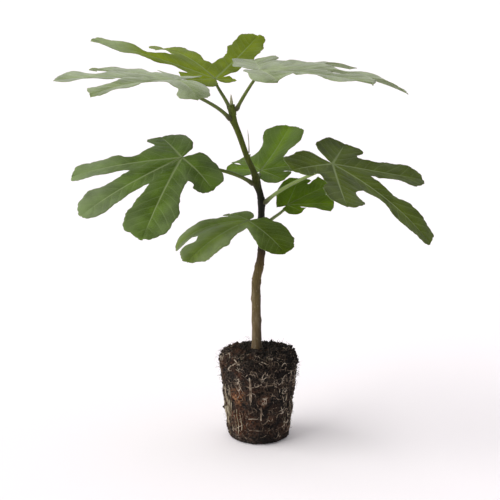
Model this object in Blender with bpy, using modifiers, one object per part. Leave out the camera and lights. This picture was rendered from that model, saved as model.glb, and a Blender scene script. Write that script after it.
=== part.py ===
"""A young fig tree on its root ball: one slim stem and eight lobed leaves.

Sizes are in millimetres and angles in degrees, and the finished objects are in metres, +Z up.
The origin is the middle of the root ball's flat underside, and the stem leans towards -X.
Left and right are seen from the front, which faces -Y.
"""
import math

import bmesh
import bpy
from mathutils import Vector, noise

MM = 0.001
CLEAR = 0.3                  # air between two pieces that touch

# Root ball: a crumbly plug that tapers towards its flat underside, its rim worn round.
# Its half outline is given as (radius, height), from its top middle down to its underside.
BALL_HEIGHT = 86.8
BALL_OUTLINE = (
    (0.0, BALL_HEIGHT), (17.0, BALL_HEIGHT), (28.0, 86.2), (34.0, 84.4), (37.6, 81.3), (39.0, 77.0),
    (38.2, 70.0), (36.0, 53.0), (33.6, 32.0), (31.4, 12.0), (30.2, 3.0), (28.6, 0.6), (27.0, 0.0),
    (15.0, 0.0), (0.0, 0.0))
BALL_LUMP = 0.7              # how far the lumps of soil stand out
BALL_LUMP_SIZE = 14.0
BALL_LUMP_FADE = 6.0         # they die away this close to the top and the underside
BALL_STEPS = 36

# Stem: (x, y, z, radius) up its middle line, from its foot to its tip.
STEM_ROUTE = (
    (-1.6, 0.0, BALL_HEIGHT + CLEAR, 5.6),
    (-1.9, 0.0, 98.0, 4.8),
    (-2.5, 0.0, 138.0, 4.4),
    (-2.4, 0.0, 158.0, 4.3),
    (0.8, 0.0, 173.0, 4.1),
    (2.4, 0.0, 189.0, 3.4),
    (2.4, 0.0, 214.0, 3.3),
    (2.0, 0.0, 238.0, 3.2),
    (-1.2, 0.0, 252.0, 3.1),
    (-5.4, 0.0, 266.0, 2.8),
    (-11.3, 0.0, 279.0, 2.7),
    (-17.5, 0.0, 297.0, 2.8),
    (-23.8, 0.0, 314.0, 2.9),
    (-25.2, 0.0, 323.0, 2.6),
    (-25.8, 0.0, 329.0, 1.9),
)
STEM_STEPS = 40
BUD_LENGTH = 10.0
BUD_LEAN = 0.6
BUD_SHAPE = ((0.0, 1.4), (0.15, 1.7), (0.4, 1.55), (0.65, 1.05), (0.85, 0.5), (1.0, 0.2))
STIPULE_FOOT = (-9.4, 0.0, 284.0)
STIPULE_TIP = (-10.9, -0.6, 306.0)
STIPULE_BOW = (0.5, 0.0, 0.0)
STIPULE_SHAPE = ((0.0, 0.55), (0.3, 0.52), (0.6, 0.44), (0.85, 0.30), (1.0, 0.17))

# Leaves.
BLADE_THICKNESS = 1.8
BLADE_ROWS_TO_CLEFT = 3
BLADE_ROWS_PAST_CLEFT = 6
BLADE_COLUMNS = 6
RIB_REACH = 0.38             # where a lobe's own strip starts, as a part of its length
HEEL_ANGLE = 166.0           # the blade's two heels end this far round from its middle rib
HEEL_REACH = 7.0
HEEL_WIDTH = 0.40            # as a part of the end lobe's width
HEEL_SIDE = ((0.38, 0.54), (0.72, 0.50), (0.92, 0.36), (0.985, 0.17))   # in length and width
LOBE_SIDE = ((0.25, 0.37), (0.60, 0.50), (0.86, 0.42), (0.975, 0.20))   # in way past cleft, width
PAST_TIP = (0.975, -0.20)
CLEFT_HALF_WIDTH = 0.9       # air kept on each side of the line through a cleft
CLEFT_OPENING = 0.3          # how fast a cleft opens, as a part of the way past its start
LOBE_BLEND = 22.0            # how far round a lobe's droop is shared with its neighbours
DROOP_POWER = 1.5
BEND_STEPS = 10
FOLD_SLOPE = 0.15            # the blade rises on both sides of each rib
FOLD_ROUNDING = 3.0
PETIOLE_FOOT_RADIUS = 1.9
PETIOLE_TIP_RADIUS = 1.3
PETIOLE_LIFT = 0.35          # how far above the straight line to the hub it leaves the stem
PETIOLE_TURN = 0.40          # how far it has turned towards the middle rib at the hub
PETIOLE_CLIMB = 0.50         # how steeply it comes up to the hub from below
PETIOLE_REIN = 0.33          # how long each end keeps its direction, as a part of the length
PETIOLE_STEPS = 10
PETIOLE_RUN_ON = ((4.5, 1.25), (9.0, 0.80))    # (reach, radius) on under the middle rib

# Each leaf: the height it leaves the stem at, its hub (where petiole and ribs meet),
# its aim (compass turn from +X, pitch, roll), its lobes from right to left as
# (turn from the middle rib, length, width, droop), and how far out each cleft starts.
LEAVES = {
    "leaf_1_low_front": dict(
        joins=216, hub=(-10, -45, 227), aim=(214, -6, -13),
        lobes=((-85, 28, 22, 22), (-26, 75, 32, 56), (12, 80, 38, 28), (90, 60, 38, 18)),
        clefts=(20, 52, 18)),
    "leaf_2_low_back": dict(
        joins=211, hub=(28, 30, 227), aim=(35, 20, 16),
        lobes=((-80, 19, 20, 5), (-42, 46, 40, 5), (-3, 54, 40, 8), (34, 45, 28, -3)),
        clefts=(13, 39, 38)),
    "leaf_3_right": dict(
        joins=236, hub=(67, -45, 280), aim=(-29, -22, 4),
        lobes=((-106, 54, 40, 5), (-54, 93, 36, -5), (-4, 119, 36, 25), (47, 94, 40, 0),
               (106, 54, 40, -5)),
        clefts=(40, 52, 36, 36)),
    "leaf_4_left": dict(
        joins=254, hub=(-72, -28, 283), aim=(211, -15, -19),
        lobes=((-98, 49, 36, 12), (-29, 104, 28, 15), (5, 114, 35, 15), (41, 116, 46, 13),
               (93, 51, 38, 34)),
        clefts=(34, 50, 50, 40)),
    "leaf_5_back": dict(
        joins=259, hub=(2, 45, 259), aim=(62, 24, 1),
        lobes=((-108, 32, 26, 5), (-60, 44, 34, 12), (0, 73, 44, -16), (57, 44, 22, 20),
               (94, 37, 24, 0)),
        clefts=(24, 28, 34, 25)),
    "leaf_6_top_left": dict(
        joins=316, hub=(-76, -46, 356.5), aim=(188, 4.5, -1.5),
        lobes=((-100, 46, 40, 5), (-45, 97, 42, 5), (-2, 108, 42, 10), (35, 94, 26, 20),
               (116, 44, 38, 40)),
        clefts=(36, 56, 50, 32)),
    "leaf_7_top_back": dict(
        joins=325, hub=(-42, 26, 351), aim=(123, 25, 5),
        lobes=((-96, 20, 20, -10), (-50, 131, 30, -8), (4, 105, 36, 33), (48, 125, 24, 8),
               (98, 38, 30, -5)),
        clefts=(12, 30, 50, 28)),
    "leaf_8_top_right": dict(
        joins=325, hub=(1, -7, 362), aim=(-6, 4, 3),
        lobes=((-68, 54, 38, 15), (-34, 126, 36, 5), (-5, 140, 40, 33), (42, 110, 46, 18),
               (100, 64, 44, -5)),
        clefts=(44, 66, 62, 46)),
}

# Colours (red, green, blue) and roughness.
SOIL = ((0.040, 0.024, 0.016), 0.95)
BARK = ((0.060, 0.050, 0.025), 0.70)
BUD_SKIN = ((0.330, 0.270, 0.200), 0.60)
DRY_SKIN = ((0.300, 0.250, 0.190), 0.80)
LEAF_GREEN = ((0.090, 0.150, 0.050), 0.55)


def clear_scene():
    for thing in list(bpy.data.objects):
        bpy.data.objects.remove(thing)
    for name in ("fig_tree", "cutters"):
        if name in bpy.data.collections:
            bpy.data.collections.remove(bpy.data.collections[name])


def new_collection(name):
    collection = bpy.data.collections.new(name)
    bpy.context.scene.collection.children.link(collection)
    return collection


def principled(name, finish):
    """A plain material in one colour, with its roughness."""
    colour, roughness = finish
    material = bpy.data.materials.new(name)
    material.use_nodes = True
    shader = material.node_tree.nodes["Principled BSDF"]
    shader.inputs["Base Color"].default_value = (*colour, 1.0)
    shader.inputs["Roughness"].default_value = roughness
    shader.inputs["Metallic"].default_value = 0.0
    material.diffuse_color = (*colour, 1.0)
    return material


def add_object(name, mesh, collection):
    piece = bpy.data.objects.new(name, mesh)
    collection.objects.link(piece)
    return piece


def finish_mesh(piece, material, smooth_below=50):
    """Give the piece its one material, smooth shading and sharp edges."""
    mesh = piece.data
    mesh.materials.clear()
    mesh.materials.append(material)
    mesh.shade_smooth()
    mesh.set_sharp_from_angle(angle=math.radians(smooth_below))


def spline_point(points, place):
    """The Catmull-Rom curve through all but the two end points, at place 0 to 1."""
    spans = len(points) - 3
    along = min(place * spans, spans - 1e-6)
    first = int(along)
    step = along - first
    before, start, end, after = (Vector(point) for point in points[first:first + 4])
    return 0.5 * (2 * start + (end - before) * step
                  + (2 * before - 5 * start + 4 * end - after) * step ** 2
                  + (3 * start - before - 3 * end + after) * step ** 3)


def smooth_route(points, steps):
    """Evenly numbered points on a smooth curve through the given ones."""
    first, second = Vector(points[0]), Vector(points[1])
    last, before_last = Vector(points[-1]), Vector(points[-2])
    guided = [2 * first - second, *points, 2 * last - before_last]
    return [spline_point(guided, step / steps) for step in range(steps + 1)]


def tube_mesh(name, route, sides_setting):
    """A closed round tube along (x, y, z, radius) points, made a mesh with welded caps."""
    curve = bpy.data.curves.new(name, "CURVE")
    curve.dimensions = "3D"
    curve.bevel_depth = MM
    curve.bevel_resolution = sides_setting
    curve.use_fill_caps = True
    spline = curve.splines.new("POLY")
    spline.points.add(len(route) - 1)
    for point, (x, y, z, radius) in zip(spline.points, route):
        point.co = (x * MM, y * MM, z * MM, 1.0)
        point.radius = radius
    guide = bpy.data.objects.new(name + "_guide", curve)
    bpy.context.scene.collection.objects.link(guide)
    depsgraph = bpy.context.evaluated_depsgraph_get()
    mesh = bpy.data.meshes.new_from_object(guide.evaluated_get(depsgraph))
    mesh.transform(guide.matrix_world)
    bpy.data.objects.remove(guide)
    shape = bmesh.new()
    shape.from_mesh(mesh)
    bmesh.ops.remove_doubles(shape, verts=shape.verts, dist=0.01 * MM)
    bmesh.ops.recalc_face_normals(shape, faces=shape.faces)
    shape.to_mesh(mesh)
    shape.free()
    mesh.name = name
    return mesh


# ---------------------------------------------------------------- root ball

def make_root_ball(collection):
    """The turned plug, with low lumps on its side."""
    mesh = bpy.data.meshes.new("root_ball")
    mesh.from_pydata([(radius * MM, 0.0, height * MM) for radius, height in BALL_OUTLINE],
                     [(place, place + 1) for place in range(len(BALL_OUTLINE) - 1)], [])
    piece = add_object("root_ball", mesh, collection)
    turned = piece.modifiers.new("turned", "SCREW")
    turned.steps = BALL_STEPS
    turned.render_steps = BALL_STEPS
    turned.use_merge_vertices = True
    turned.merge_threshold = 0.01 * MM
    apply_modifiers(piece)
    for corner in piece.data.vertices:
        x, y, z = (part / MM for part in corner.co)
        radius = math.hypot(x, y)
        on_side = min(1.0, z / BALL_LUMP_FADE, (BALL_HEIGHT - z) / BALL_LUMP_FADE)
        lump = BALL_LUMP * on_side * noise.noise(Vector((x, y, z)) / BALL_LUMP_SIZE)
        corner.co.x += lump * MM * x / max(radius, 1.0)
        corner.co.y += lump * MM * y / max(radius, 1.0)
    finish_mesh(piece, principled("soil", SOIL))
    return piece


def apply_modifiers(piece):
    """Replace the piece's mesh by what its modifiers make of it."""
    depsgraph = bpy.context.evaluated_depsgraph_get()
    made = bpy.data.meshes.new_from_object(piece.evaluated_get(depsgraph))
    piece.modifiers.clear()
    piece.data = made


# ---------------------------------------------------------------- stem, bud and stipule

def stem_at(height):
    """The stem's middle (x, y) and its radius at a height."""
    for low, high in zip(STEM_ROUTE, STEM_ROUTE[1:]):
        if low[2] <= height <= high[2]:
            part = (height - low[2]) / (high[2] - low[2])
            return [a + (b - a) * part for a, b in zip(low, high)]
    return list(STEM_ROUTE[-1])


def make_stem(collection):
    piece = add_object("stem", tube_mesh("stem", smooth_route(STEM_ROUTE, STEM_STEPS), 4), collection)
    finish_mesh(piece, principled("bark", BARK))
    return piece


def make_terminal_bud(collection):
    """A pointed bud that stands on the stem's tip."""
    x, y, z, _ = STEM_ROUTE[-1]
    foot = z + CLEAR
    route = [(x - BUD_LEAN * part, y, foot + BUD_LENGTH * part, radius) for part, radius in BUD_SHAPE]
    piece = add_object("terminal_bud", tube_mesh("terminal_bud", route, 3), collection)
    finish_mesh(piece, principled("bud_skin", BUD_SKIN))
    return piece


def make_dry_stipule(collection):
    """The dry sheath of an old bud, standing off the stem like a bristle."""
    foot, tip, bow = Vector(STIPULE_FOOT), Vector(STIPULE_TIP), Vector(STIPULE_BOW)
    route = []
    for part, radius in STIPULE_SHAPE:
        place = foot.lerp(tip, part) + bow * 4 * part * (1 - part)
        route.append((*place, radius))
    piece = add_object("dry_stipule", tube_mesh("dry_stipule", route, 1), collection)
    finish_mesh(piece, principled("dry_skin", DRY_SKIN))
    return piece


# ---------------------------------------------------------------- leaves

def polar(turn, reach):
    """A flat point at a turn from the middle rib and a reach from the hub."""
    return Vector((reach * math.cos(math.radians(turn)), reach * math.sin(math.radians(turn))))


def lobe_edge(lobe, start, side, is_heel):
    """Guide points down one edge of a lobe, from its cleft to its tip and just round it."""
    turn, length, width, _ = lobe
    axis = polar(turn, 1.0)
    across = Vector((-axis.y, axis.x)) * side

    def at(along, out):
        return axis * length * along + across * width * out

    if is_heel:
        heel = polar(side * HEEL_ANGLE, width * HEEL_WIDTH)
        guides = [start, heel, *(at(along, out) for along, out in HEEL_SIDE), at(1.0, 0.0)]
    else:
        cleft = start.dot(axis) / length
        past = [at(cleft + (1 - cleft) * part, out) for part, out in LOBE_SIDE]
        guides = [start, *past, at(1.0, 0.0)]
    return [2 * guides[0] - guides[1], *guides, at(*PAST_TIP)]


def beside_cleft(point, start, side):
    """Keep an edge point on its own side of the line through the cleft's start."""
    reach = point.length
    air = min(CLEFT_HALF_WIDTH, CLEFT_OPENING * max(0.0, reach - start.length))
    limit = math.degrees(math.atan2(start.y, start.x)) - side * math.degrees(air / reach)
    turn = math.degrees(math.atan2(point.y, point.x))
    return polar(limit, reach) if turn_between(turn, limit) * side > 0 else point


def strip_point(lobe, right, left, along, across):
    """Where a lobe's strip puts the place (along 0 to 1, across -1 to 1) on the flat blade."""
    start, guides, side = left if across > 0 else right
    rows = BLADE_ROWS_TO_CLEFT + BLADE_ROWS_PAST_CLEFT
    cleft = BLADE_ROWS_TO_CLEFT / rows
    turn, length = lobe[:2]
    if along <= cleft:
        part = along / cleft
        middle = polar(turn, RIB_REACH * length * part)
        edge = start * part
    else:
        part = (along - cleft) / (1 - cleft)
        middle = polar(turn, length * (RIB_REACH + (1 - RIB_REACH) * part))
        edge = beside_cleft(spline_point(guides, part), start, side)
    return middle.lerp(edge, abs(across))


def turn_between(first, second):
    return (first - second + 180) % 360 - 180


def raised(leaf, flat):
    """The height and the pulled-in reach of a flat blade point once the lobes droop."""
    reach = flat.length
    turn = math.degrees(math.atan2(flat.y, flat.x))
    shares = [math.exp(-(turn_between(turn, lobe[0]) / LOBE_BLEND) ** 2) + 1e-6
              for lobe in leaf["lobes"]]
    length = sum(share * lobe[1] for share, lobe in zip(shares, leaf["lobes"])) / sum(shares)
    droop = sum(share * lobe[3] for share, lobe in zip(shares, leaf["lobes"])) / sum(shares)
    run = drop = 0.0
    for step in range(BEND_STEPS):
        part = min(1.5, reach / length * (step + 0.5) / BEND_STEPS)
        tilt = math.radians(droop) * part ** DROOP_POWER
        run += reach * math.cos(tilt) / BEND_STEPS
        drop += reach * math.sin(tilt) / BEND_STEPS
    off_rib = reach
    for lobe in leaf["lobes"]:
        gap = math.radians(abs(turn_between(turn, lobe[0])))
        if gap < math.pi / 2:
            off_rib = min(off_rib, reach * math.sin(gap))
    fold = FOLD_SLOPE * (math.hypot(off_rib, FOLD_ROUNDING) - FOLD_ROUNDING)
    return fold - drop, run


def leaf_axes(leaf):
    """The leaf's forward, left and up directions."""
    turn, pitch, roll = (math.radians(angle) for angle in leaf["aim"])
    forward = Vector((math.cos(turn) * math.cos(pitch), math.sin(turn) * math.cos(pitch),
                      math.sin(pitch)))
    level = Vector((-math.sin(turn), math.cos(turn), 0.0))
    upright = level.cross(forward) * -1
    left = level * math.cos(roll) + upright * math.sin(roll)
    up = upright * math.cos(roll) - level * math.sin(roll)
    return forward, left, up


def on_leaf(leaf, flat):
    """The place in space, in millimetres, of a point of the flat blade."""
    forward, left, up = leaf_axes(leaf)
    height, run = raised(leaf, flat)
    heading = flat.normalized() if flat.length > 1e-6 else Vector((1.0, 0.0))
    return Vector(leaf["hub"]) + forward * run * heading.x + left * run * heading.y + up * height


def lobe_sides(leaf):
    """For each lobe, its right and its left edge as (start, guide points, side)."""
    lobes = leaf["lobes"]
    clefts = [polar((first[0] + second[0]) / 2, reach)
              for first, second, reach in zip(lobes, lobes[1:], leaf["clefts"])]
    starts = [polar(-HEEL_ANGLE, HEEL_REACH), *clefts, polar(HEEL_ANGLE, HEEL_REACH)]
    last = len(lobes) - 1
    return [((starts[place], lobe_edge(lobe, starts[place], -1, place == 0), -1),
             (starts[place + 1], lobe_edge(lobe, starts[place + 1], 1, place == last), 1))
            for place, lobe in enumerate(lobes)]


def blade_mesh(name, leaf):
    """One grid for each lobe, shaped to it, joined at the clefts and at the hub."""
    rows = BLADE_ROWS_TO_CLEFT + BLADE_ROWS_PAST_CLEFT
    shape = bmesh.new()
    for lobe, (right, left) in zip(leaf["lobes"], lobe_sides(leaf)):
        grid = bmesh.ops.create_grid(shape, x_segments=rows, y_segments=BLADE_COLUMNS, size=1.0)
        for corner in grid["verts"]:
            flat = strip_point(lobe, right, left, (corner.co.x + 1) / 2, corner.co.y)
            corner.co = on_leaf(leaf, flat) * MM
    bmesh.ops.remove_doubles(shape, verts=shape.verts, dist=0.05 * MM)
    bmesh.ops.recalc_face_normals(shape, faces=shape.faces)
    mesh = bpy.data.meshes.new(name)
    shape.to_mesh(mesh)
    shape.free()
    return mesh


def petiole_route(leaf):
    """Points from just off the stem to the hub, nearly straight, and on under the middle rib."""
    x, y, z, stem_radius = stem_at(leaf["joins"])
    hub = Vector(leaf["hub"])
    forward, _, up = leaf_axes(leaf)
    out = Vector((hub.x - x, hub.y - y, 0.0)).normalized()
    straight = (hub - Vector((x, y, z))).normalized()
    heading = (straight + Vector((0.0, 0.0, PETIOLE_LIFT))).normalized()
    off_stem = stem_radius + 2 * CLEAR + PETIOLE_FOOT_RADIUS * heading.z
    foot = Vector((x, y, z)) + out * off_stem
    under_hub = hub - up * BLADE_THICKNESS / 2
    rein = (under_hub - foot).length * PETIOLE_REIN
    landing = (straight + forward * PETIOLE_TURN + up * PETIOLE_CLIMB).normalized()
    bend = [foot, foot + heading * rein, under_hub - landing * rein, under_hub]
    route = []
    for step in range(PETIOLE_STEPS + 1):
        part = step / PETIOLE_STEPS
        rest = 1 - part
        place = (bend[0] * rest ** 3 + bend[1] * 3 * rest ** 2 * part
                 + bend[2] * 3 * rest * part ** 2 + bend[3] * part ** 3)
        radius = PETIOLE_FOOT_RADIUS + (PETIOLE_TIP_RADIUS - PETIOLE_FOOT_RADIUS) * part
        route.append((*place, radius))
    middle = leaf["lobes"][len(leaf["lobes"]) // 2]
    for reach, radius in PETIOLE_RUN_ON:
        below = on_leaf(leaf, polar(middle[0], reach)) - up * BLADE_THICKNESS / 2
        route.append((*below, radius))
    return route


def make_leaf(name, leaf, collection):
    """A blade with its petiole, joined into one closed solid."""
    masses = new_collection(name + "_pieces")
    blade = add_object(name + "_blade", blade_mesh(name, leaf), masses)
    thicker = blade.modifiers.new("thickness", "SOLIDIFY")
    thicker.thickness = BLADE_THICKNESS * MM
    thicker.offset = 0.0
    apply_modifiers(blade)
    add_object(name + "_petiole", tube_mesh(name + "_petiole", petiole_route(leaf), 2), masses)
    piece = add_object(name, bpy.data.meshes.new(name), collection)
    join = piece.modifiers.new("join", "BOOLEAN")
    join.operation = "UNION"
    join.operand_type = "COLLECTION"
    join.collection = masses
    join.solver = "EXACT"
    apply_modifiers(piece)
    for part in list(masses.objects):
        bpy.data.objects.remove(part)
    bpy.data.collections.remove(masses)
    finish_mesh(piece, principled(name + "_green", LEAF_GREEN))
    return piece


def build():
    clear_scene()
    tree = new_collection("fig_tree")
    make_root_ball(tree)
    make_stem(tree)
    make_terminal_bud(tree)
    make_dry_stipule(tree)
    for name, leaf in LEAVES.items():
        make_leaf(name, leaf, tree)


build()
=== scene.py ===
# %% [markdown]
# # A young fig tree on its root ball
#
# The tree was lifted out of its pot: a plug of dark compost held together by pale roots, one slim
# stem that leans to the left, and eight lobed leaves on long stalks. The plain solids of each part
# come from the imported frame, and every one is replaced here by a piece with the surface of the real
# thing. Sizes are in millimetres until the moment that a mesh is made, because that is how a grower
# would give them.

# %% Load the frame
import math
import random

import bpy
import numpy as np
from mathutils import Euler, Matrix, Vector, noise


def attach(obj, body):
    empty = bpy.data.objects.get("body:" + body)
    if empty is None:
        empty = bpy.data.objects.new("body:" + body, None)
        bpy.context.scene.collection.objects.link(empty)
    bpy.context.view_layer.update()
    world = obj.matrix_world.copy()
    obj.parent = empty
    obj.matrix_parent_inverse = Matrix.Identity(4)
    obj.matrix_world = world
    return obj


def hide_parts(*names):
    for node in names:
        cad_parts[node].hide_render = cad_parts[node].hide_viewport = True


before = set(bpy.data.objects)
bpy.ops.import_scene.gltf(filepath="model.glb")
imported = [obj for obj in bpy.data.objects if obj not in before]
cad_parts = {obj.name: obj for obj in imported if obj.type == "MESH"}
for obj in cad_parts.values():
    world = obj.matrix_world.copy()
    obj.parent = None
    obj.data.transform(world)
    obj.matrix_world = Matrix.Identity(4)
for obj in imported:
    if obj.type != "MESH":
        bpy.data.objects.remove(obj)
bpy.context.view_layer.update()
MM = 0.001

# %% [markdown]
# ## Camera
#
# The plant is seen from the front and from a little above, through a long lens, so that the leaves
# that reach forward are hardly larger than those behind. A 90 mm lens on a 36 mm wide frame, about
# 1.2 m away, gives that.

# %% Camera
CAMERA_PLACE = (-0.0085, -1.1766, 0.4602)
CAMERA_DOWN = 13.0                       # degrees below the horizon
LENS = 90.0
VIEW_ENDS = 20.0                         # past the far edge of the floor

bpy.ops.object.camera_add(location=CAMERA_PLACE, rotation=(math.radians(90 - CAMERA_DOWN), 0, 0))
camera = bpy.context.object
camera.name = "front_camera"
camera.data.lens = LENS
camera.data.clip_end = VIEW_ENDS
bpy.context.scene.camera = camera
print("camera at", CAMERA_PLACE)

# %% [markdown]
# ## Shader sums
#
# Every finish below is a small sum: a pale colour where a rib runs, a darker one where compost is
# wet. Written with node links such a sum is hard to read, so one class wraps a socket and lets it be
# added and multiplied like a number, and another makes the nodes and keeps them in one material.

# %% A socket that can be used in sums
class Value:
    """A number or colour that a node gives."""

    def __init__(self, finish, socket):
        self.finish = finish
        self.socket = socket

    def maths(self, operation, *terms):
        return self.finish.add("ShaderNodeMath", {"operation": operation}, dict(enumerate(terms)))

    def __add__(self, other):
        return self.maths("ADD", self, other)

    def __sub__(self, other):
        return self.maths("SUBTRACT", self, other)

    def __rsub__(self, other):
        return self.maths("SUBTRACT", other, self)

    def __mul__(self, other):
        return self.maths("MULTIPLY", self, other)

    def __truediv__(self, other):
        return self.maths("DIVIDE", self, other)

    __radd__ = __add__
    __rmul__ = __mul__

    def size(self):
        """The number without its sign."""
        return self.maths("ABSOLUTE", self)

    def most(self, other):
        """The larger of two numbers."""
        return self.maths("MAXIMUM", self, other)

    def from_nearest(self, gap):
        """How far this number is from the nearest whole multiple of gap."""
        return self.maths("PINGPONG", self, gap / 2)

    def rises(self, start, end):
        """0 before start, 1 after end, smooth between. With end under start it falls."""
        low, high = min(start, end), max(start, end)
        ends = {"To Min": 0.0, "To Max": 1.0} if end > start else {"To Min": 1.0, "To Max": 0.0}
        return self.finish.add("ShaderNodeMapRange", {"interpolation_type": "SMOOTHSTEP"},
                               {"Value": self, "From Min": low, "From Max": high, **ends})


# %% A material that is filled in by sums
def tinted(colour, by, towards=(1.0, 1.0, 1.0), share=0.0):
    """A colour made lighter or darker, then moved towards another."""
    return tuple(min(1.0, part * by) * (1 - share) + goal * share
                 for part, goal in zip(colour, towards))


class Finish:
    """The nodes of one material, or of the room's light."""

    def __init__(self, name, owner=None):
        self.owner = owner or bpy.data.materials.new(name)
        self.owner.use_nodes = True
        self.tree = self.owner.node_tree
        self.tree.nodes.clear()

    def add(self, kind, settings=None, inputs=None, output=0):
        """Make a node, set what it has to be set to, fill its sockets, and give one output."""
        node = self.tree.nodes.new(kind)
        for name, setting in (settings or {}).items():
            if name == "stops":
                self.set_stops(node.color_ramp, setting)
            else:
                setattr(node, name, setting)
        for name, value in (inputs or {}).items():
            if isinstance(value, Value):
                self.tree.links.new(value.socket, node.inputs[name])
            elif isinstance(value, tuple) and len(node.inputs[name].default_value) == 4:
                node.inputs[name].default_value = (*value[:3], 1.0)
            else:
                node.inputs[name].default_value = value
        return Value(self, node.outputs[output])

    def set_stops(self, ramp, stops):
        """Fill a colour ramp from (place, colour) pairs."""
        while len(ramp.elements) < len(stops):
            ramp.elements.new(1.0)
        for element, (place, colour) in zip(ramp.elements, stops):
            element.position = place
            element.color = (*colour, 1.0)

    def place(self):
        """Where a point of the piece is, in metres."""
        return self.add("ShaderNodeTexCoord", output="Object")

    def part_of(self, vector, letter):
        """The X, Y or Z of a vector."""
        return self.add("ShaderNodeSeparateXYZ", inputs={"Vector": vector}, output=letter)

    def stretched(self, vector, scale):
        """A place with each direction scaled on its own: under 1 draws a pattern out that way."""
        return self.add("ShaderNodeMapping", inputs={"Vector": vector, "Scale": scale})

    def noise(self, vector, scale, detail=4.0, roughness=0.55):
        """Soft random clouds, near 0.5 on average."""
        return self.add("ShaderNodeTexNoise", inputs={
            "Vector": vector, "Scale": scale, "Detail": detail, "Roughness": roughness})

    def cells(self, vector, scale, feature="F1"):
        """How far a place is from the middle, or from the edge, of its random cell."""
        return self.add("ShaderNodeTexVoronoi", {"feature": feature},
                        {"Vector": vector, "Scale": scale})

    def mix(self, share, first, second, blend="MIX"):
        """A colour between two others."""
        return self.add("ShaderNodeMix", {"data_type": "RGBA", "blend_type": blend},
                        {0: share, 6: first, 7: second}, 2)

    def mottled(self, share, colour, darker, lighter):
        """A colour times one number where share is 0 and times another where it is 1."""
        return self.mix(share, tinted(colour, darker), tinted(colour, lighter))

    def bump(self, height, distance, strength=1.0):
        """Small relief for a surface's Normal, at most distance high, in metres."""
        return self.add("ShaderNodeBump", inputs={"Height": height, "Distance": distance,
                                                  "Strength": strength})

    def surface(self, **inputs):
        """The main shader, whose sockets are named with _ for a space."""
        named = {name.replace("_", " "): value for name, value in inputs.items()}
        return self.add("ShaderNodeBsdfPrincipled", inputs=named)

    def done(self, shader, kind="ShaderNodeOutputMaterial"):
        """Link the finished shader, and give the material or the world."""
        out = self.tree.nodes.new(kind)
        self.tree.links.new(shader.socket, out.inputs["Surface"])
        return self.owner


# %% [markdown]
# ## Floor and light
#
# A white floor that runs on behind the plant fills the whole view. The main light comes from the
# left and rather low, so the stem and the root ball are bright on that side and a long soft shadow
# lies to the right. A sun lamp does this evenly over the whole floor, and its width sets how soft
# the shadow is. The room adds the rest, and it isn't equally bright all round: the side behind the
# plant is bright, which adds to the silvery gloss of the level leaves, and the side in front of it is
# less than half as bright, which keeps depth in the compost. The rest of that gloss is painted sheen
# in the leaves' colour.

# %% Floor
FLOOR_WHITE = (0.975, 0.938, 0.972)
FLOOR_SIZE = 30.0
FLOOR_STEPS = 8
FLOOR_DROP = 0.0002                      # keeps the floor clear of the ball's flat underside

bpy.ops.mesh.primitive_grid_add(x_subdivisions=FLOOR_STEPS, y_subdivisions=FLOOR_STEPS,
                                size=FLOOR_SIZE, location=(0, 0, -FLOOR_DROP))
floor = bpy.context.object
floor.name = "pale_floor"
bpy.ops.object.transform_apply(location=True, rotation=False, scale=False)
paper = Finish("white_paper")
floor.data.materials.append(paper.done(paper.surface(Base_Color=FLOOR_WHITE, Roughness=1.0,
                                                    Specular_IOR_Level=0.0)))

# %% Room light
ROOM_COLOUR = (1.0, 0.985, 0.99)
ROOM_FRONT = 0.42
ROOM_BACK = 0.94
ROOM_CHANGE = 0.75                       # how far to the front and back the brightness changes

world = bpy.data.worlds.new("white_room")
bpy.context.scene.world = world
room = Finish("white_room", world)
backwards = room.part_of(room.add("ShaderNodeTexCoord", output="Generated"), "Y")
brightness = (backwards.rises(-ROOM_CHANGE, ROOM_CHANGE) * (ROOM_BACK - ROOM_FRONT)
              + ROOM_FRONT)
room.done(room.add("ShaderNodeBackground", inputs={"Color": ROOM_COLOUR,
                                                   "Strength": brightness}),
          "ShaderNodeOutputWorld")
bpy.context.scene.view_settings.view_transform = "Standard"
print("room", ROOM_FRONT, "in front and", ROOM_BACK, "behind")

# %% Main light
SUN_FROM = Vector((-0.84, -0.20, 0.54))
SUN_STRENGTH = 2.6
SUN_WIDTH = 68.0                         # degrees: wide, so the shadow's edge is soft
SUN_COLOUR = (1.0, 0.99, 0.965)

bpy.ops.object.light_add(type="SUN", location=SUN_FROM)
sun = bpy.context.object
sun.name = "main_light"
sun.rotation_euler = SUN_FROM.to_track_quat("Z", "Y").to_euler()
sun.data.energy = SUN_STRENGTH
sun.data.angle = math.radians(SUN_WIDTH)
sun.data.color = SUN_COLOUR
print("main light from", tuple(SUN_FROM))
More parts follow.
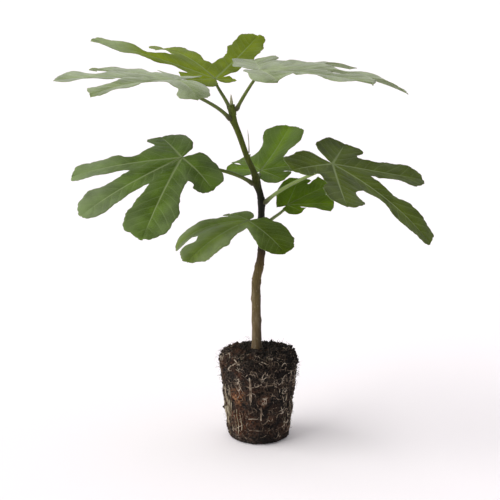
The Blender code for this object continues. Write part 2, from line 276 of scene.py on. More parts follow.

# %% [markdown]
# ## The leaf's rule
#
# A fig leaf is a hand: ribs fan out from the hub, where the stalk joins, and each carries a lobe.
# Between two lobes lies a cleft. The blade is therefore made of strips, one for each lobe. A strip
# starts at the hub, is bounded by the lines to its two clefts, and past them follows the lobe's own
# edges to its tip. Neighbours share the line to the cleft, so the strips close into one blade. The
# numbers for each leaf are the same as those of its solid, so the fine blade lies in the plain one.

# %% Each leaf's own sizes and colours
# joins: height on the stem. hub: where stalk and ribs meet. aim: compass turn, pitch and roll.
# lobes: (turn from the middle rib, length, width, droop), right to left. clefts: how far out each
# starts. green: the blade's colour. glow: how much light comes through it. painted_sheen: how much
# painted silvery sheen the blade's colour has away from its ribs, which also sets the shader's sheen.
# gloss: how shiny it is. dark_rims: how much darker the lobes are away from their ribs, on the leaves
# where that shows more than usual. painted_light_side, on a leaf lit more on one side: from and to
# which x, in metres, it turns silvery as painted sheen, how much, how much of that keeps to the
# lobes' rims, and how dark the other side is, as painted shade.
LEAVES = {
    "leaf_1_low_front": dict(
        joins=216, hub=(-10, -45, 227), aim=(214, -6, -13),
        lobes=((-85, 28, 22, 22), (-26, 75, 32, 56), (12, 80, 38, 28), (90, 60, 38, 18)),
        clefts=(20, 52, 18), green=(0.135, 0.200, 0.002), glow=0.32,
        painted_sheen=0.02, gloss=0.12, painted_light_side=(0.006, -0.014, 0.52, 0.65, 0.32)),
    "leaf_2_low_back": dict(
        joins=211, hub=(28, 30, 227), aim=(35, 20, 16),
        lobes=((-80, 19, 20, 5), (-42, 46, 40, 5), (-3, 54, 40, 8), (34, 45, 28, -3)),
        clefts=(13, 39, 38), green=(0.112, 0.178, 0.001), glow=0.38,
        dark_rims=0.50, painted_sheen=0.00, gloss=0.08),
    "leaf_3_right": dict(
        joins=236, hub=(67, -45, 280), aim=(-29, -22, 4),
        lobes=((-106, 54, 40, 5), (-54, 93, 36, -5), (-4, 119, 36, 25), (47, 94, 40, 0),
               (106, 54, 40, -5)),
        clefts=(40, 52, 36, 36), green=(0.084, 0.121, 0.006), glow=0.20,
        dark_rims=0.48, painted_sheen=0.00, gloss=0.09, painted_light_side=(0.135, 0.165, 0.16, 0.30, 1.00)),
    "leaf_4_left": dict(
        joins=254, hub=(-72, -28, 283), aim=(211, -15, -19),
        lobes=((-98, 49, 36, 12), (-29, 104, 28, 15), (5, 114, 35, 15), (41, 116, 46, 13),
               (93, 51, 38, 34)),
        clefts=(34, 50, 50, 40), green=(0.086, 0.150, 0.009), glow=0.20,
        dark_rims=0.38, painted_sheen=0.12, gloss=0.15, painted_light_side=(-0.100, -0.155, 0.46, 0.30, 1.00)),
    "leaf_5_back": dict(
        joins=259, hub=(2, 45, 259), aim=(62, 24, 1),
        lobes=((-108, 32, 26, 5), (-60, 44, 34, 12), (0, 73, 44, -16), (57, 44, 22, 20),
               (94, 37, 24, 0)),
        clefts=(24, 28, 34, 25), green=(0.132, 0.212, 0.008), glow=0.34,
        dark_rims=0.75, painted_sheen=0.10, gloss=0.15),
    # leaf_6 and leaf_8 have a paler, greyer green than the other leaves, partly painted sheen for the
    # silvery look of these level top leaves.
    "leaf_6_top_left": dict(
        joins=316, hub=(-76, -46, 356.5), aim=(188, 4.5, -1.5),
        lobes=((-100, 46, 40, 5), (-45, 97, 42, 5), (-2, 108, 42, 10), (35, 94, 26, 20),
               (116, 44, 38, 40)),
        clefts=(36, 56, 50, 32), green=(0.205, 0.275, 0.080), glow=0.16,
        painted_sheen=0.68, gloss=0.28),
    "leaf_7_top_back": dict(
        joins=325, hub=(-42, 26, 351), aim=(123, 25, 5),
        lobes=((-96, 20, 20, -10), (-50, 131, 30, -8), (4, 105, 36, 33), (48, 125, 24, 8),
               (98, 38, 30, -5)),
        clefts=(12, 30, 50, 28), green=(0.195, 0.245, 0.002), glow=0.40,
        dark_rims=0.60, painted_sheen=0.04, gloss=0.10, painted_light_side=(-0.105, -0.140, 1.00, 0.00, 1.00)),
    "leaf_8_top_right": dict(
        joins=325, hub=(1, -7, 362), aim=(-6, 4, 3),
        lobes=((-68, 54, 38, 15), (-34, 126, 36, 5), (-5, 140, 40, 33), (42, 110, 46, 18),
               (100, 64, 44, -5)),
        clefts=(44, 66, 62, 46), green=(0.190, 0.250, 0.078), glow=0.16,
        painted_sheen=0.60, gloss=0.28),
}
print(len(LEAVES), "leaves,", sum(len(leaf["lobes"]) for leaf in LEAVES.values()), "lobes")

# %% What all the leaves share
RIB_REACH = 0.38                         # where a lobe's own strip starts, as a part of its length
HEEL_ANGLE = 166.0                       # the heels end this far round from the middle rib
HEEL_REACH = 7.0
HEEL_WIDTH = 0.40                        # as a part of the end lobe's width
HEEL_SIDE = ((0.38, 0.54), (0.72, 0.50), (0.92, 0.36), (0.985, 0.17))    # parts of length, width
LOBE_SIDE = ((0.25, 0.37), (0.60, 0.50), (0.86, 0.42), (0.975, 0.20))    # way past cleft, width
PAST_TIP = (0.975, -0.20)
CLEFT_HALF_WIDTH = 0.9                   # air kept on each side of the line through a cleft
CLEFT_OPENING = 0.3                      # how fast a cleft opens past its start
LOBE_BLEND = 22.0                        # how far round a lobe's droop is shared with others
DROOP_POWER = 1.5
FOLD_SLOPE = 0.15                        # the blade rises on both sides of each rib
FOLD_ROUNDING = 3.0
USUAL_LOBE = 115.0                       # edges and veins are drawn for a middle lobe this long


def middle_lobe(leaf):
    """The (turn, length, width, droop) of the lobe on the middle rib."""
    return leaf["lobes"][len(leaf["lobes"]) // 2]


longest = max(lobe[1] for leaf in LEAVES.values() for lobe in leaf["lobes"])
print("the longest lobe is", longest, "mm, the usual middle one", USUAL_LOBE)


# %% Flat shape of a lobe's strip
def polar(turn, reach):
    """Flat points at a turn in degrees and a reach from the hub."""
    turn = np.radians(turn)
    return np.stack([reach * np.cos(turn), reach * np.sin(turn)], axis=-1)


def turn_between(first, second):
    """How far the first turn is past the second, from -180 to 180 degrees."""
    return (first - second + 180) % 360 - 180


def spline_points(guides, places):
    """The Catmull-Rom curve through all but the two end guides, at places 0 to 1."""
    guides = np.array(guides, float)
    spans = len(guides) - 3
    along = np.minimum(places * spans, spans - 1e-6)
    first = along.astype(int)
    step = (along - first)[:, None]
    before, start, end, after = (guides[first + shift] for shift in range(4))
    return 0.5 * (2 * start + (end - before) * step
                  + (2 * before - 5 * start + 4 * end - after) * step ** 2
                  + (3 * start - before - 3 * end + after) * step ** 3)


def lobe_edge(lobe, start, side, is_heel):
    """Guide points down one edge of a lobe, from its cleft to its tip and just round it."""
    turn, length, width, _ = lobe
    axis = polar(turn, 1.0)
    across = np.array([-axis[1], axis[0]]) * side

    def at(along, out):
        return axis * length * along + across * width * out

    if is_heel:
        heel = polar(side * HEEL_ANGLE, width * HEEL_WIDTH)
        guides = [start, heel, *(at(along, out) for along, out in HEEL_SIDE), at(1.0, 0.0)]
    else:
        cleft = start @ axis / length
        past = [at(cleft + (1 - cleft) * part, out) for part, out in LOBE_SIDE]
        guides = [start, *past, at(1.0, 0.0)]
    return [2 * guides[0] - guides[1], *guides, at(*PAST_TIP)]


def lobe_sides(leaf):
    """For each lobe, its right and its left edge as (start, guide points, side)."""
    lobes = leaf["lobes"]
    clefts = [polar((first[0] + second[0]) / 2, reach)
              for first, second, reach in zip(lobes, lobes[1:], leaf["clefts"])]
    starts = [polar(-HEEL_ANGLE, HEEL_REACH), *clefts, polar(HEEL_ANGLE, HEEL_REACH)]
    last = len(lobes) - 1
    return [((starts[place], lobe_edge(lobe, starts[place], -1, place == 0), -1),
             (starts[place + 1], lobe_edge(lobe, starts[place + 1], 1, place == last), 1))
            for place, lobe in enumerate(lobes)]


# %% [markdown]
# The edge of a fig lobe isn't plain: it bulges and dips over a finger's width or two, and low, round
# teeth follow it. Both are added to the edge before the strip is filled in, so the whole strip
# follows them.

# %% Bulges and teeth, and the strip between the edges
BULGE_HEIGHT = 0.9
BULGES = ((5.5, 1.0, 1), (3.1, 0.8, 2))  # (run, share of the height, times the seed) of two waves
TOOTH_LENGTH = 7.0
TOOTH_HEIGHT = 1.2
TOOTH_ROUND = 0.6                        # under 1: broad round teeth with narrow notches
TOOTH_DRIFT = 1.6                        # how far teeth are shifted, so they aren't all alike
TOOTH_DRIFT_RUN = 6.0
EDGE_GROWS_OVER = 0.35                   # plain at the cleft, full after this part of its length
EDGE_CALM_AT_TIP = 4.0                   # and plain again this close to the tip


def toothed(points, middle, size, seed):
    """The edge points pushed out from the lobe's middle line by bulges and low round teeth."""
    outward = points - middle
    reach = np.linalg.norm(outward, axis=1, keepdims=True)
    steps = np.linalg.norm(np.diff(points, axis=0), axis=1)
    walked = np.concatenate([[0.0], np.cumsum(steps)])
    left_over = walked[-1] - walked
    bulge = sum(share * np.sin(walked / (run * size) + times * seed)
                for run, share, times in BULGES)
    drift = TOOTH_DRIFT * size * np.sin(walked / (TOOTH_DRIFT_RUN * size) + 3 * seed)
    beat = math.pi * (walked + drift) / (TOOTH_LENGTH * size)
    tooth = np.abs(np.sin(beat)) ** TOOTH_ROUND - TOOTH_ROUND
    grown = (np.clip(walked / (EDGE_GROWS_OVER * walked[-1]), 0, 1)
             * np.clip(left_over / EDGE_CALM_AT_TIP, 0, 1))
    shift = size * (BULGE_HEIGHT * bulge + TOOTH_HEIGHT * tooth) * grown
    return points + outward / np.maximum(reach, 0.5) * shift[:, None]


def beside_cleft(points, start, side):
    """Keep edge points on their own side of the line through the cleft's start."""
    reach = np.linalg.norm(points, axis=1)
    past = np.maximum(0.0, reach - np.linalg.norm(start))
    air = np.minimum(CLEFT_HALF_WIDTH, CLEFT_OPENING * past)
    limit = np.degrees(np.arctan2(start[1], start[0])) - side * np.degrees(air / reach)
    turn = np.degrees(np.arctan2(points[:, 1], points[:, 0]))
    too_far = turn_between(turn, limit) * side > 0
    return np.where(too_far[:, None], polar(limit, reach), points)


def edge_rows(lobe, edge, rows_in, rows_out, size, seed):
    """A strip's middle line and one of its edges, row by row from the hub to the tip."""
    start, guides, side = edge
    turn, length = lobe[:2]
    inner = np.linspace(0, 1, rows_in + 1)[:-1]
    outer = np.linspace(0, 1, rows_out + 1)
    middle = polar(turn, np.concatenate([RIB_REACH * length * inner,
                                         length * (RIB_REACH + (1 - RIB_REACH) * outer)]))
    beyond = beside_cleft(spline_points(guides, outer), start, side)
    beyond = toothed(beyond, middle[rows_in:], size, seed + side)
    return middle, np.concatenate([start[None] * inner[:, None], beyond])


# %% [markdown]
# ## Bending the blade
#
# The flat blade is bent the way a real one hangs: each lobe droops or rises along its rib, the
# droop of neighbours blends, and the blade rises a little on both sides of each rib, like a shallow
# gutter. On top of that comes what makes a fig leaf look like one. Side veins leave each rib in a
# herringbone, they lie in grooves, and the blade between two veins is quilted upwards.

# %% The vein pattern as heights
VEIN_GAP = 11.5
VEIN_SLANT = 0.80                        # how far a side vein runs forward for 1 mm outwards
VEIN_CURVE = 0.013                       # and how that grows towards the edge
VEIN_SHIFT = 3.0                         # veins on the two sides of a rib alternate
VEIN_STRAY = 2.2                         # how uneven the gaps are
VEIN_STRAY_RUN = 9.0
RIB_GROOVE = 0.40
RIB_GROOVE_WIDTH = 1.3
VEIN_GROOVE = 0.12
VEIN_GROOVE_WIDTH = 1.0
QUILT_HEIGHT = 0.32
QUILT_STARTS = 5.0                       # this far from the rib
EDGE_WAVE = 1.2
EDGE_WAVE_RUN = 6.5


def vein_place(along, across, seed):
    """Where a point lies in the herringbone: whole multiples of the gap are on side veins."""
    out, side = np.abs(across), np.sign(across)
    stray = VEIN_STRAY * np.sin(along / VEIN_STRAY_RUN + seed + 1.5 * side)
    return along - VEIN_SLANT * out - VEIN_CURVE * out ** 2 + stray + VEIN_SHIFT * side


def vein_relief(along, across, vein, edge_share):
    """The height of the blade's small forms, in millimetres, on the usual size of lobe."""
    off_vein = np.abs(vein / VEIN_GAP - np.round(vein / VEIN_GAP)) * VEIN_GAP
    out, side = np.abs(across), np.sign(across)
    rib = -RIB_GROOVE * np.exp(-(out / RIB_GROOVE_WIDTH) ** 2)
    groove = -VEIN_GROOVE * np.exp(-(off_vein / VEIN_GROOVE_WIDTH) ** 2) * np.clip(out / 2, 0, 1)
    calm = np.clip(out / QUILT_STARTS, 0, 1) * (1 - edge_share ** 4)
    quilt = QUILT_HEIGHT * np.sin(math.pi * np.clip(off_vein / VEIN_GAP * 2, 0, 1) / 2) * calm
    wave = EDGE_WAVE * edge_share ** 3 * np.sin(along / EDGE_WAVE_RUN + 1.3 * side)
    return rib + groove + quilt + wave


# %% From the flat blade to its place in space
BEND_STEPS = 12                          # short straight steps that a bent rib is made of


def leaf_axes(leaf):
    """The leaf's forward, left and up directions."""
    turn, pitch, roll = (math.radians(angle) for angle in leaf["aim"])
    forward = np.array([math.cos(turn) * math.cos(pitch), math.sin(turn) * math.cos(pitch),
                        math.sin(pitch)])
    level = np.array([-math.sin(turn), math.cos(turn), 0.0])
    upright = np.cross(forward, level)
    left = level * math.cos(roll) + upright * math.sin(roll)
    up = upright * math.cos(roll) - level * math.sin(roll)
    return forward, left, up


def on_leaf(leaf, flat, relief=0.0):
    """Places in space, in millimetres, of points of the flat blade."""
    reach = np.linalg.norm(flat, axis=1)
    turn = np.degrees(np.arctan2(flat[:, 1], flat[:, 0]))
    lobes = np.array(leaf["lobes"], float)
    gap = turn_between(turn[None], lobes[:, :1])
    shares = np.exp(-(gap / LOBE_BLEND) ** 2) + 1e-6
    shares = shares / shares.sum(axis=0)
    length = (shares * lobes[:, 1:2]).sum(axis=0)
    droop = (shares * lobes[:, 3:4]).sum(axis=0)
    run = np.zeros_like(reach)
    drop = np.zeros_like(reach)
    for step in range(BEND_STEPS):
        part = np.minimum(1.5, reach / length * (step + 0.5) / BEND_STEPS)
        tilt = np.radians(droop) * part ** DROOP_POWER
        run += reach * np.cos(tilt) / BEND_STEPS
        drop += reach * np.sin(tilt) / BEND_STEPS
    rib_gap = np.radians(np.abs(gap))
    off_rib = np.where(rib_gap < math.pi / 2, reach * np.sin(rib_gap), reach).min(axis=0)
    fold = FOLD_SLOPE * (np.hypot(off_rib, FOLD_ROUNDING) - FOLD_ROUNDING)
    forward, left, up = leaf_axes(leaf)
    heading = polar(turn, 1.0)
    return (np.array(leaf["hub"], float) + forward * (run * heading[:, 0])[:, None]
            + left * (run * heading[:, 1])[:, None] + up * (fold - drop + relief)[:, None])


# %% [markdown]
# ## Making the blade
#
# Each strip starts as a grid primitive. Its rows become the lobe's length and its columns its width,
# and the columns stand closer together near the rib, where the grooves are sharpest. The strips are
# joined and merged along the lines to the clefts. Each keeps a map of where it lies in the
# herringbone and how far from its rib, and the leaf's finish draws the veins from that map, so that
# painted and modelled veins fall in the same places. A Solidify modifier then gives the blade its
# thickness and the second finish for its underside.

# %% Helpers that every piece uses
def deselect_all():
    """An operator acts on all that is selected, so nothing else may be."""
    for thing in bpy.context.selected_objects:
        thing.select_set(False)


def make_active(piece):
    deselect_all()
    piece.select_set(True)
    bpy.context.view_layer.objects.active = piece


def corners_of(mesh):
    """The mesh's points as an array, in metres."""
    places = np.empty(len(mesh.vertices) * 3, np.float32)
    mesh.vertices.foreach_get("co", places)
    return places.reshape(-1, 3).astype(float)


def move_corners(mesh, places):
    """Put the mesh's points at these places, in metres."""
    mesh.vertices.foreach_set("co", places.astype(np.float32).ravel())
    mesh.update()


def join_pieces(pieces, name):
    """One piece from several."""
    make_active(pieces[0])
    for piece in pieces:
        piece.select_set(True)
    bpy.ops.object.join()
    whole = bpy.context.object
    whole.name = name
    whole.data.name = name
    return whole


def edit_all(piece, operator, **settings):
    """Run an edit mode operator on the whole of a piece."""
    make_active(piece)
    bpy.ops.object.mode_set(mode="EDIT")
    bpy.ops.mesh.select_all(action="SELECT")
    operator(**settings)
    bpy.ops.object.mode_set(mode="OBJECT")


def merge_points(piece, distance):
    """Merge points that lie closer than this, in millimetres."""
    edit_all(piece, bpy.ops.mesh.remove_doubles, threshold=distance * MM)


def outward_normals(piece):
    """Turn all faces outwards, and shade them smooth."""
    edit_all(piece, bpy.ops.mesh.normals_make_consistent, inside=False)
    bpy.ops.object.shade_smooth()


def apply_modifier(piece, kind, name, **settings):
    """Add a modifier, set it and apply it at once."""
    make_active(piece)
    modifier = piece.modifiers.new(name, kind)
    for key, value in settings.items():
        setattr(modifier, key, value)
    bpy.ops.object.modifier_apply(modifier=modifier.name)


def new_grid(name, rows, columns):
    """A grid that runs from -1 to 1 both ways, as rows along x and columns along y."""
    bpy.ops.mesh.primitive_grid_add(x_subdivisions=rows, y_subdivisions=columns, size=2)
    piece = bpy.context.object
    piece.name = name
    piece.data.name = name
    return piece, corners_of(piece.data)


def settle(piece, node, slot, *finishes):
    """Give a piece its finishes, tie it to the tree, and hide the solid it stands for."""
    for finish in finishes:
        piece.data.materials.append(finish)
    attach(piece, "root")
    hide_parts(node)
    print(f"{piece.name}: {len(piece.data.polygons)} faces")


# %% One strip of blade
CELL = 1.25                              # the blade's mesh, in millimetres
COLUMN_CROWDING = 1.35                   # over 1 brings the columns together at the rib
COLUMN_EXTRA = 1.15                      # more columns, because crowding spreads the outer ones
FEWEST_ROWS = 8
FEWEST_COLUMNS = 6                       # on each side of the rib
EDGE_ROWS = 6                            # rows past the cleft over which the edge's wave grows
SEAM_ROWS = 5                            # and over which the calm strip along a seam ends
MAP_UNIT = 100.0                         # a map coordinate of 1 is this many millimetres


def keep_chart(piece, vein, across, rib_left):
    """Store where each point lies in the herringbone, and how much of its rib is to come."""
    mesh = piece.data
    chart = mesh.uv_layers[0]
    chart.name = "vein_map"
    loops = np.empty(len(mesh.loops), int)
    mesh.loops.foreach_get("vertex_index", loops)
    chart.data.foreach_set("uv", np.stack([vein, across], 1)[loops].ravel() / MAP_UNIT)
    rib = mesh.attributes.new("rib_left", "FLOAT", "POINT")
    rib.data.foreach_set("value", np.clip(rib_left, 0, 1))


def strip(leaf, lobe, sides, rows_in):
    """A grid shaped to one lobe, with its chart."""
    right, left = sides
    turn, length, width, _ = lobe
    size = middle_lobe(leaf)[1] / USUAL_LOBE
    rows_out = max(FEWEST_ROWS, round(length * (1 - RIB_REACH) / CELL))
    half = max(FEWEST_COLUMNS, round(width / 2 / CELL * COLUMN_EXTRA))
    rows = rows_in + rows_out
    piece, grid = new_grid("strip", rows, 2 * half)
    row = np.rint((grid[:, 0] + 1) / 2 * rows).astype(int)
    share = np.abs(grid[:, 1]) ** COLUMN_CROWDING * np.sign(grid[:, 1])
    seed = math.radians(turn) * 2 + length
    middle, left_edge = edge_rows(lobe, left, rows_in, rows_out, size, seed)
    _, right_edge = edge_rows(lobe, right, rows_in, rows_out, size, seed)
    edge = np.where((share > 0)[:, None], left_edge[row], right_edge[row])
    flat = middle[row] + (edge - middle[row]) * np.abs(share)[:, None]
    axis = polar(turn, 1.0)
    along = flat @ axis / size
    across = flat @ np.array([-axis[1], axis[0]]) / size
    at_edge = np.abs(share) * np.clip((row - rows_in) / EDGE_ROWS, 0, 1)
    vein = vein_place(along, across, seed)
    relief = vein_relief(along, across, vein, at_edge) * size
    at_seam = np.abs(share) ** 6 * np.clip(1 - (row - rows_in) / SEAM_ROWS, 0, 1)
    move_corners(piece.data, on_leaf(leaf, flat, relief * (1 - at_seam)) * MM)
    keep_chart(piece, vein, across, 1 - along * size / length)
    return piece


# %% The whole blade, with its thickness
BLADE_THICKNESS = 0.4
RIB_RIDGE = 0.9                          # how far a rib stands out underneath, at the hub
RIDGE_WIDTH = 1.1
RIDGE_AT_TIP = 0.25                      # what is left of both at a lobe's tip, as a part
RIDGE_STEP = 1.5
FEWEST_ROWS_IN = 6                       # rows from the hub to the clefts
MERGE_BLADE = 0.02                       # points closer than this, in millimetres, become one


def rib_ridges(leaf, piece, first_under):
    """Push the underside out along each rib, less and less towards its tip."""
    mesh = piece.data
    places = corners_of(mesh)
    reach = np.full(len(places), np.inf)
    strength = np.zeros(len(places))
    for turn, length, _, _ in leaf["lobes"]:
        steps = np.linspace(0, length, int(length / RIDGE_STEP) + 2)
        rib = on_leaf(leaf, polar(turn, 1.0)[None] * steps[:, None]) * MM
        for place, left_over in zip(rib, 1 - steps / length):
            distance = np.linalg.norm(places - place, axis=1) / MM
            closer = distance < reach
            reach[closer] = distance[closer]
            strength[closer] = RIDGE_AT_TIP + (1 - RIDGE_AT_TIP) * left_over
    _, _, up = leaf_axes(leaf)
    push = RIB_RIDGE * strength * np.exp(-(reach / (RIDGE_WIDTH * (0.5 + strength))) ** 2)
    push[:first_under] = 0.0
    move_corners(mesh, places - up * push[:, None] * MM)


def make_blade(name, leaf, upper, under):
    """Strips, merged, thickened, with the underside in its own finish."""
    longest_lobe = max(lobe[1] for lobe in leaf["lobes"])
    rows_in = max(FEWEST_ROWS_IN, round(RIB_REACH * longest_lobe / CELL))
    strips = [strip(leaf, lobe, sides, rows_in)
              for lobe, sides in zip(leaf["lobes"], lobe_sides(leaf))]
    piece = join_pieces(strips, name + "_blade")
    merge_points(piece, MERGE_BLADE)
    piece.data.materials.append(upper)
    piece.data.materials.append(under)
    first_under = len(piece.data.vertices)
    apply_modifier(piece, "SOLIDIFY", "thickness", thickness=BLADE_THICKNESS * MM, offset=0.0,
                   material_offset=1, material_offset_rim=1)
    rib_ridges(leaf, piece, first_under)
    bpy.ops.object.shade_smooth()
    return piece

# %% [markdown]
# ## Leaf finishes
#
# From above, a fig leaf is a dull, slightly rough green with pale ribs, and its finest veins part it
# into a net of tiny fields that each stand up a little. From below it is paler, greyer and downy,
# with the ribs proud of it. Light also comes through it: a lit leaf seen from its dark side glows
# yellow green. So each face is a mix of a plain surface and one that lets light through, and the
# share between the two is a fixed number for each leaf. The level leaves at the top are silvery,
# most of all away from their ribs: that is painted sheen, a silvery share of the base colour, beside
# the shader's own sheen. On some leaves one side is painted lighter and silvery and the other
# darker, as painted light and shade.

# %% Where the veins run, as shares
NET_SCALE = 430.0                        # fields of the finest veins in a metre


def vein_marks(finish):
    """The ribs, the side veins and the fine net, as shares from 0 to 1, and how far from a rib."""
    chart = finish.add("ShaderNodeUVMap", {"uv_map": "vein_map"})
    off_vein = (finish.part_of(chart, "X") * MAP_UNIT).from_nearest(VEIN_GAP)
    out = (finish.part_of(chart, "Y") * MAP_UNIT).size()
    rib_left = finish.add("ShaderNodeAttribute", {"attribute_name": "rib_left"}, output="Fac")
    rib = (out / (rib_left + 0.25)).rises(1.55, 0.45) * rib_left.rises(0.0, 0.25)
    side = off_vein.rises(0.85, 0.20) * out.rises(0.3, 1.5) * rib_left.rises(0.0, 0.15)
    net = finish.cells(finish.place(), NET_SCALE, "DISTANCE_TO_EDGE").rises(0.10, 0.01)
    return rib, side, net, out


# %% What both faces share
RIB_COLOUR = (0.34, 0.41, 0.19)
# The silvery colour of the painted sheen on the leaves.
PAINTED_SHEEN_SILVER = (0.39, 0.45, 0.295)
DOWN_COLOUR = (0.26, 0.31, 0.17)
THROUGH_COLOUR = (0.42, 0.55, 0.01)
USUAL_DARK_RIMS = 0.10


def towards_painted_light_side(finish, place, leaf):
    """0 on a leaf's green side, which some leaves darken as painted shade, and 1 on its side with
    painted silvery sheen.
    """
    start, end = leaf["painted_light_side"][:2]
    return finish.part_of(place, "X").rises(start, end)


def with_light_through(finish, leaf, skin):
    """The finished face: its skin, and light that comes through the blade, yellower than it."""
    through = finish.add("ShaderNodeBsdfTranslucent", inputs={
        "Color": tinted(leaf["green"], 2.6, THROUGH_COLOUR, 0.35)})
    return finish.done(finish.add("ShaderNodeMixShader", inputs={
        0: leaf["glow"], 1: skin, 2: through}))


# %% Upper face
def upper_face(name, leaf):
    """Dull green with paler ribs and side veins and a fine net, and painted silvery sheen away from
    the ribs.
    """
    green, painted_sheen = leaf["green"], leaf["painted_sheen"]
    finish = Finish(name)
    rib, side, net, out = vein_marks(finish)
    place = finish.place()
    patches = finish.noise(place, 48.0, 3.0).rises(0.36, 0.64)
    clouds = finish.noise(place, 24.0, 2.0).rises(0.35, 0.65)
    grain = finish.noise(place, 900.0, 3.0, 0.6)
    outer = out.rises(3.0, 16.0)
    # Painted sheen: a silvery share of the base colour, strongest away from the ribs.
    silvery = (outer * 0.65 + clouds * 0.35) * min(1.0, painted_sheen + 0.05)
    colour = finish.mottled(patches, green, 0.68, 1.28)
    # Painted light and shade: one side of some leaves turns silvery as painted sheen, and the other
    # side is darkened as painted shade.
    if "painted_light_side" in leaf:
        beside = towards_painted_light_side(finish, place, leaf)
        *_, share, at_rims, painted_shade_darkness = leaf["painted_light_side"]
        silvery = silvery.most(beside * (outer * at_rims + (1 - at_rims)) * share)
        deep = finish.mottled(patches, tinted(green, painted_shade_darkness), 0.68, 1.28)
        colour = finish.mix(beside, deep, colour)
    colour = finish.mix(outer * leaf.get("dark_rims", USUAL_DARK_RIMS), colour,
                        tinted(green, 0.42))
    # The painted silvery sheen goes into the base colour here.
    colour = finish.mix(silvery, colour, finish.mottled(patches, PAINTED_SHEEN_SILVER, 0.84, 1.14))
    colour = finish.mix(net * 0.22, colour, tinted(green, 1.5, RIB_COLOUR, 0.25))
    colour = finish.mix(side * 0.45, colour, tinted(green, 1.4, RIB_COLOUR, 0.55))
    colour = finish.mix(rib * 0.75, colour, RIB_COLOUR)
    skin = finish.surface(Base_Color=colour, Roughness=grain * 0.16 + 0.38,
                          Specular_IOR_Level=leaf["gloss"], Sheen_Weight=painted_sheen * 0.75,
                          Sheen_Roughness=0.35,
                          Normal=finish.bump(grain * 0.35 - net * 0.5, 0.0005, 0.8))
    return with_light_through(finish, leaf, skin)


# %% Under face
def under_face(name, leaf):
    """Paler and downy, with light ribs, and painted silvery sheen on the lit side of some leaves."""
    finish = Finish(name)
    rib, side, net, _ = vein_marks(finish)
    place = finish.place()
    patches = finish.noise(place, 60.0, 3.0).rises(0.3, 0.7)
    down = finish.noise(place, 1400.0, 2.0, 0.7)
    pale = tinted(leaf["green"], 1.2, DOWN_COLOUR, 0.35)
    colour = finish.mottled(patches, pale, 0.88, 1.1)
    # Painted sheen: the lit side of some leaves is silvery underneath too.
    if "painted_light_side" in leaf:
        share = leaf["painted_light_side"][2] * 0.8
        colour = finish.mix(towards_painted_light_side(finish, place, leaf) * share, colour, PAINTED_SHEEN_SILVER)
    colour = finish.mix(net * 0.35, colour, tinted(pale, 1.45))
    colour = finish.mix(side * 0.6, colour, tinted(RIB_COLOUR, 0.8))
    colour = finish.mix(rib * 0.9, colour, tinted(RIB_COLOUR, 1.15))
    skin = finish.surface(Base_Color=colour, Roughness=0.72, Specular_IOR_Level=0.2,
                          Sheen_Weight=0.2, Sheen_Roughness=0.6,
                          Normal=finish.bump(down * 0.6 + net * 0.8, 0.0004, 0.8))
    return with_light_through(finish, leaf, skin)


# %% Make the eight blades
for name, leaf in LEAVES.items():
    blade = make_blade(name, leaf, upper_face(name + "_upper", leaf),
                       under_face(name + "_under", leaf))
    settle(blade, name, name + "_green")

# %% [markdown]
# ## Stalks
#
# A leaf stalk leaves the stem upwards and bends over to the hub, where it runs on below the middle
# rib. It is thickest at its foot, slim in the middle and a little thicker again under the blade. A
# grid primitive rolled round a route makes such a tube, because its rows can then be given any
# radius, and its ends close to a point inside what they join.

# %% Tubes round a route
MERGE_TUBE = 0.01                        # closes the seam and the two pointed ends


def smooth_route(points, steps):
    """Rows of numbers on a smooth curve through the given rows, the same number in each span."""
    points = np.array(points, float)
    guides = [2 * points[0] - points[1], *points, 2 * points[-1] - points[-2]]
    return spline_points(guides, np.linspace(0, 1, steps + 1))


def frames_along(route):
    """Two directions square to a route at each of its points, turning as little as they can."""
    steps = np.gradient(route[:, :3], axis=0)
    ahead = steps / np.linalg.norm(steps, axis=1, keepdims=True)
    side = np.empty_like(ahead)
    kept = np.cross(ahead[0], (0.0, 1.0, 0.0) if abs(ahead[0][1]) < 0.9 else (1.0, 0.0, 0.0))
    for place, heading in enumerate(ahead):
        kept = kept - heading * (kept @ heading)
        kept = kept / np.linalg.norm(kept)
        side[place] = kept
    return side, np.cross(ahead, side)


def rolled_tube(name, route, sides, swell=None):
    """A grid rolled round (x, y, z, radius) points. swell(places, out) adds to the radius."""
    route = np.concatenate([route[:1], route, route[-1:]])
    route[0, 3] = route[-1, 3] = 0.0
    rings = len(route) - 1
    piece, grid = new_grid(name, rings, sides)
    piece.data.uv_layers[0].name = "tube_map"
    ring = np.rint((grid[:, 0] + 1) / 2 * rings).astype(int)
    angle = grid[:, 1] * math.pi
    side, upper = frames_along(route[1:-1])
    inner = np.clip(ring - 1, 0, rings - 2)
    out = side[inner] * np.cos(angle)[:, None] + upper[inner] * np.sin(angle)[:, None]
    radius = route[ring, 3]
    if swell:
        radius = np.where(radius > 0, radius + swell(route[ring, :3], out), 0.0)
    move_corners(piece.data, (route[ring, :3] + out * radius[:, None]) * MM)
    merge_points(piece, MERGE_TUBE)
    outward_normals(piece)
    return piece


# %% The stem's middle line
# Each row is x, y, height and radius. The foot lies inside the root ball.
STEM_ROUTE = (
    (-1.5, 0.0, 78.0, 5.6), (-1.6, 0.0, 88.0, 5.5), (-1.9, 0.0, 98.0, 4.8),
    (-2.5, 0.0, 138.0, 4.4), (-2.4, 0.0, 158.0, 4.3), (0.8, 0.0, 173.0, 4.1),
    (2.4, 0.0, 189.0, 3.4), (2.4, 0.0, 214.0, 3.3), (2.0, 0.0, 238.0, 3.2),
    (-1.2, 0.0, 252.0, 3.1), (-5.4, 0.0, 266.0, 2.8), (-11.3, 0.0, 279.0, 2.7),
    (-17.5, 0.0, 297.0, 2.8), (-23.8, 0.0, 314.0, 2.9), (-25.2, 0.0, 323.0, 2.6),
    (-25.8, 0.0, 329.0, 1.9),
)


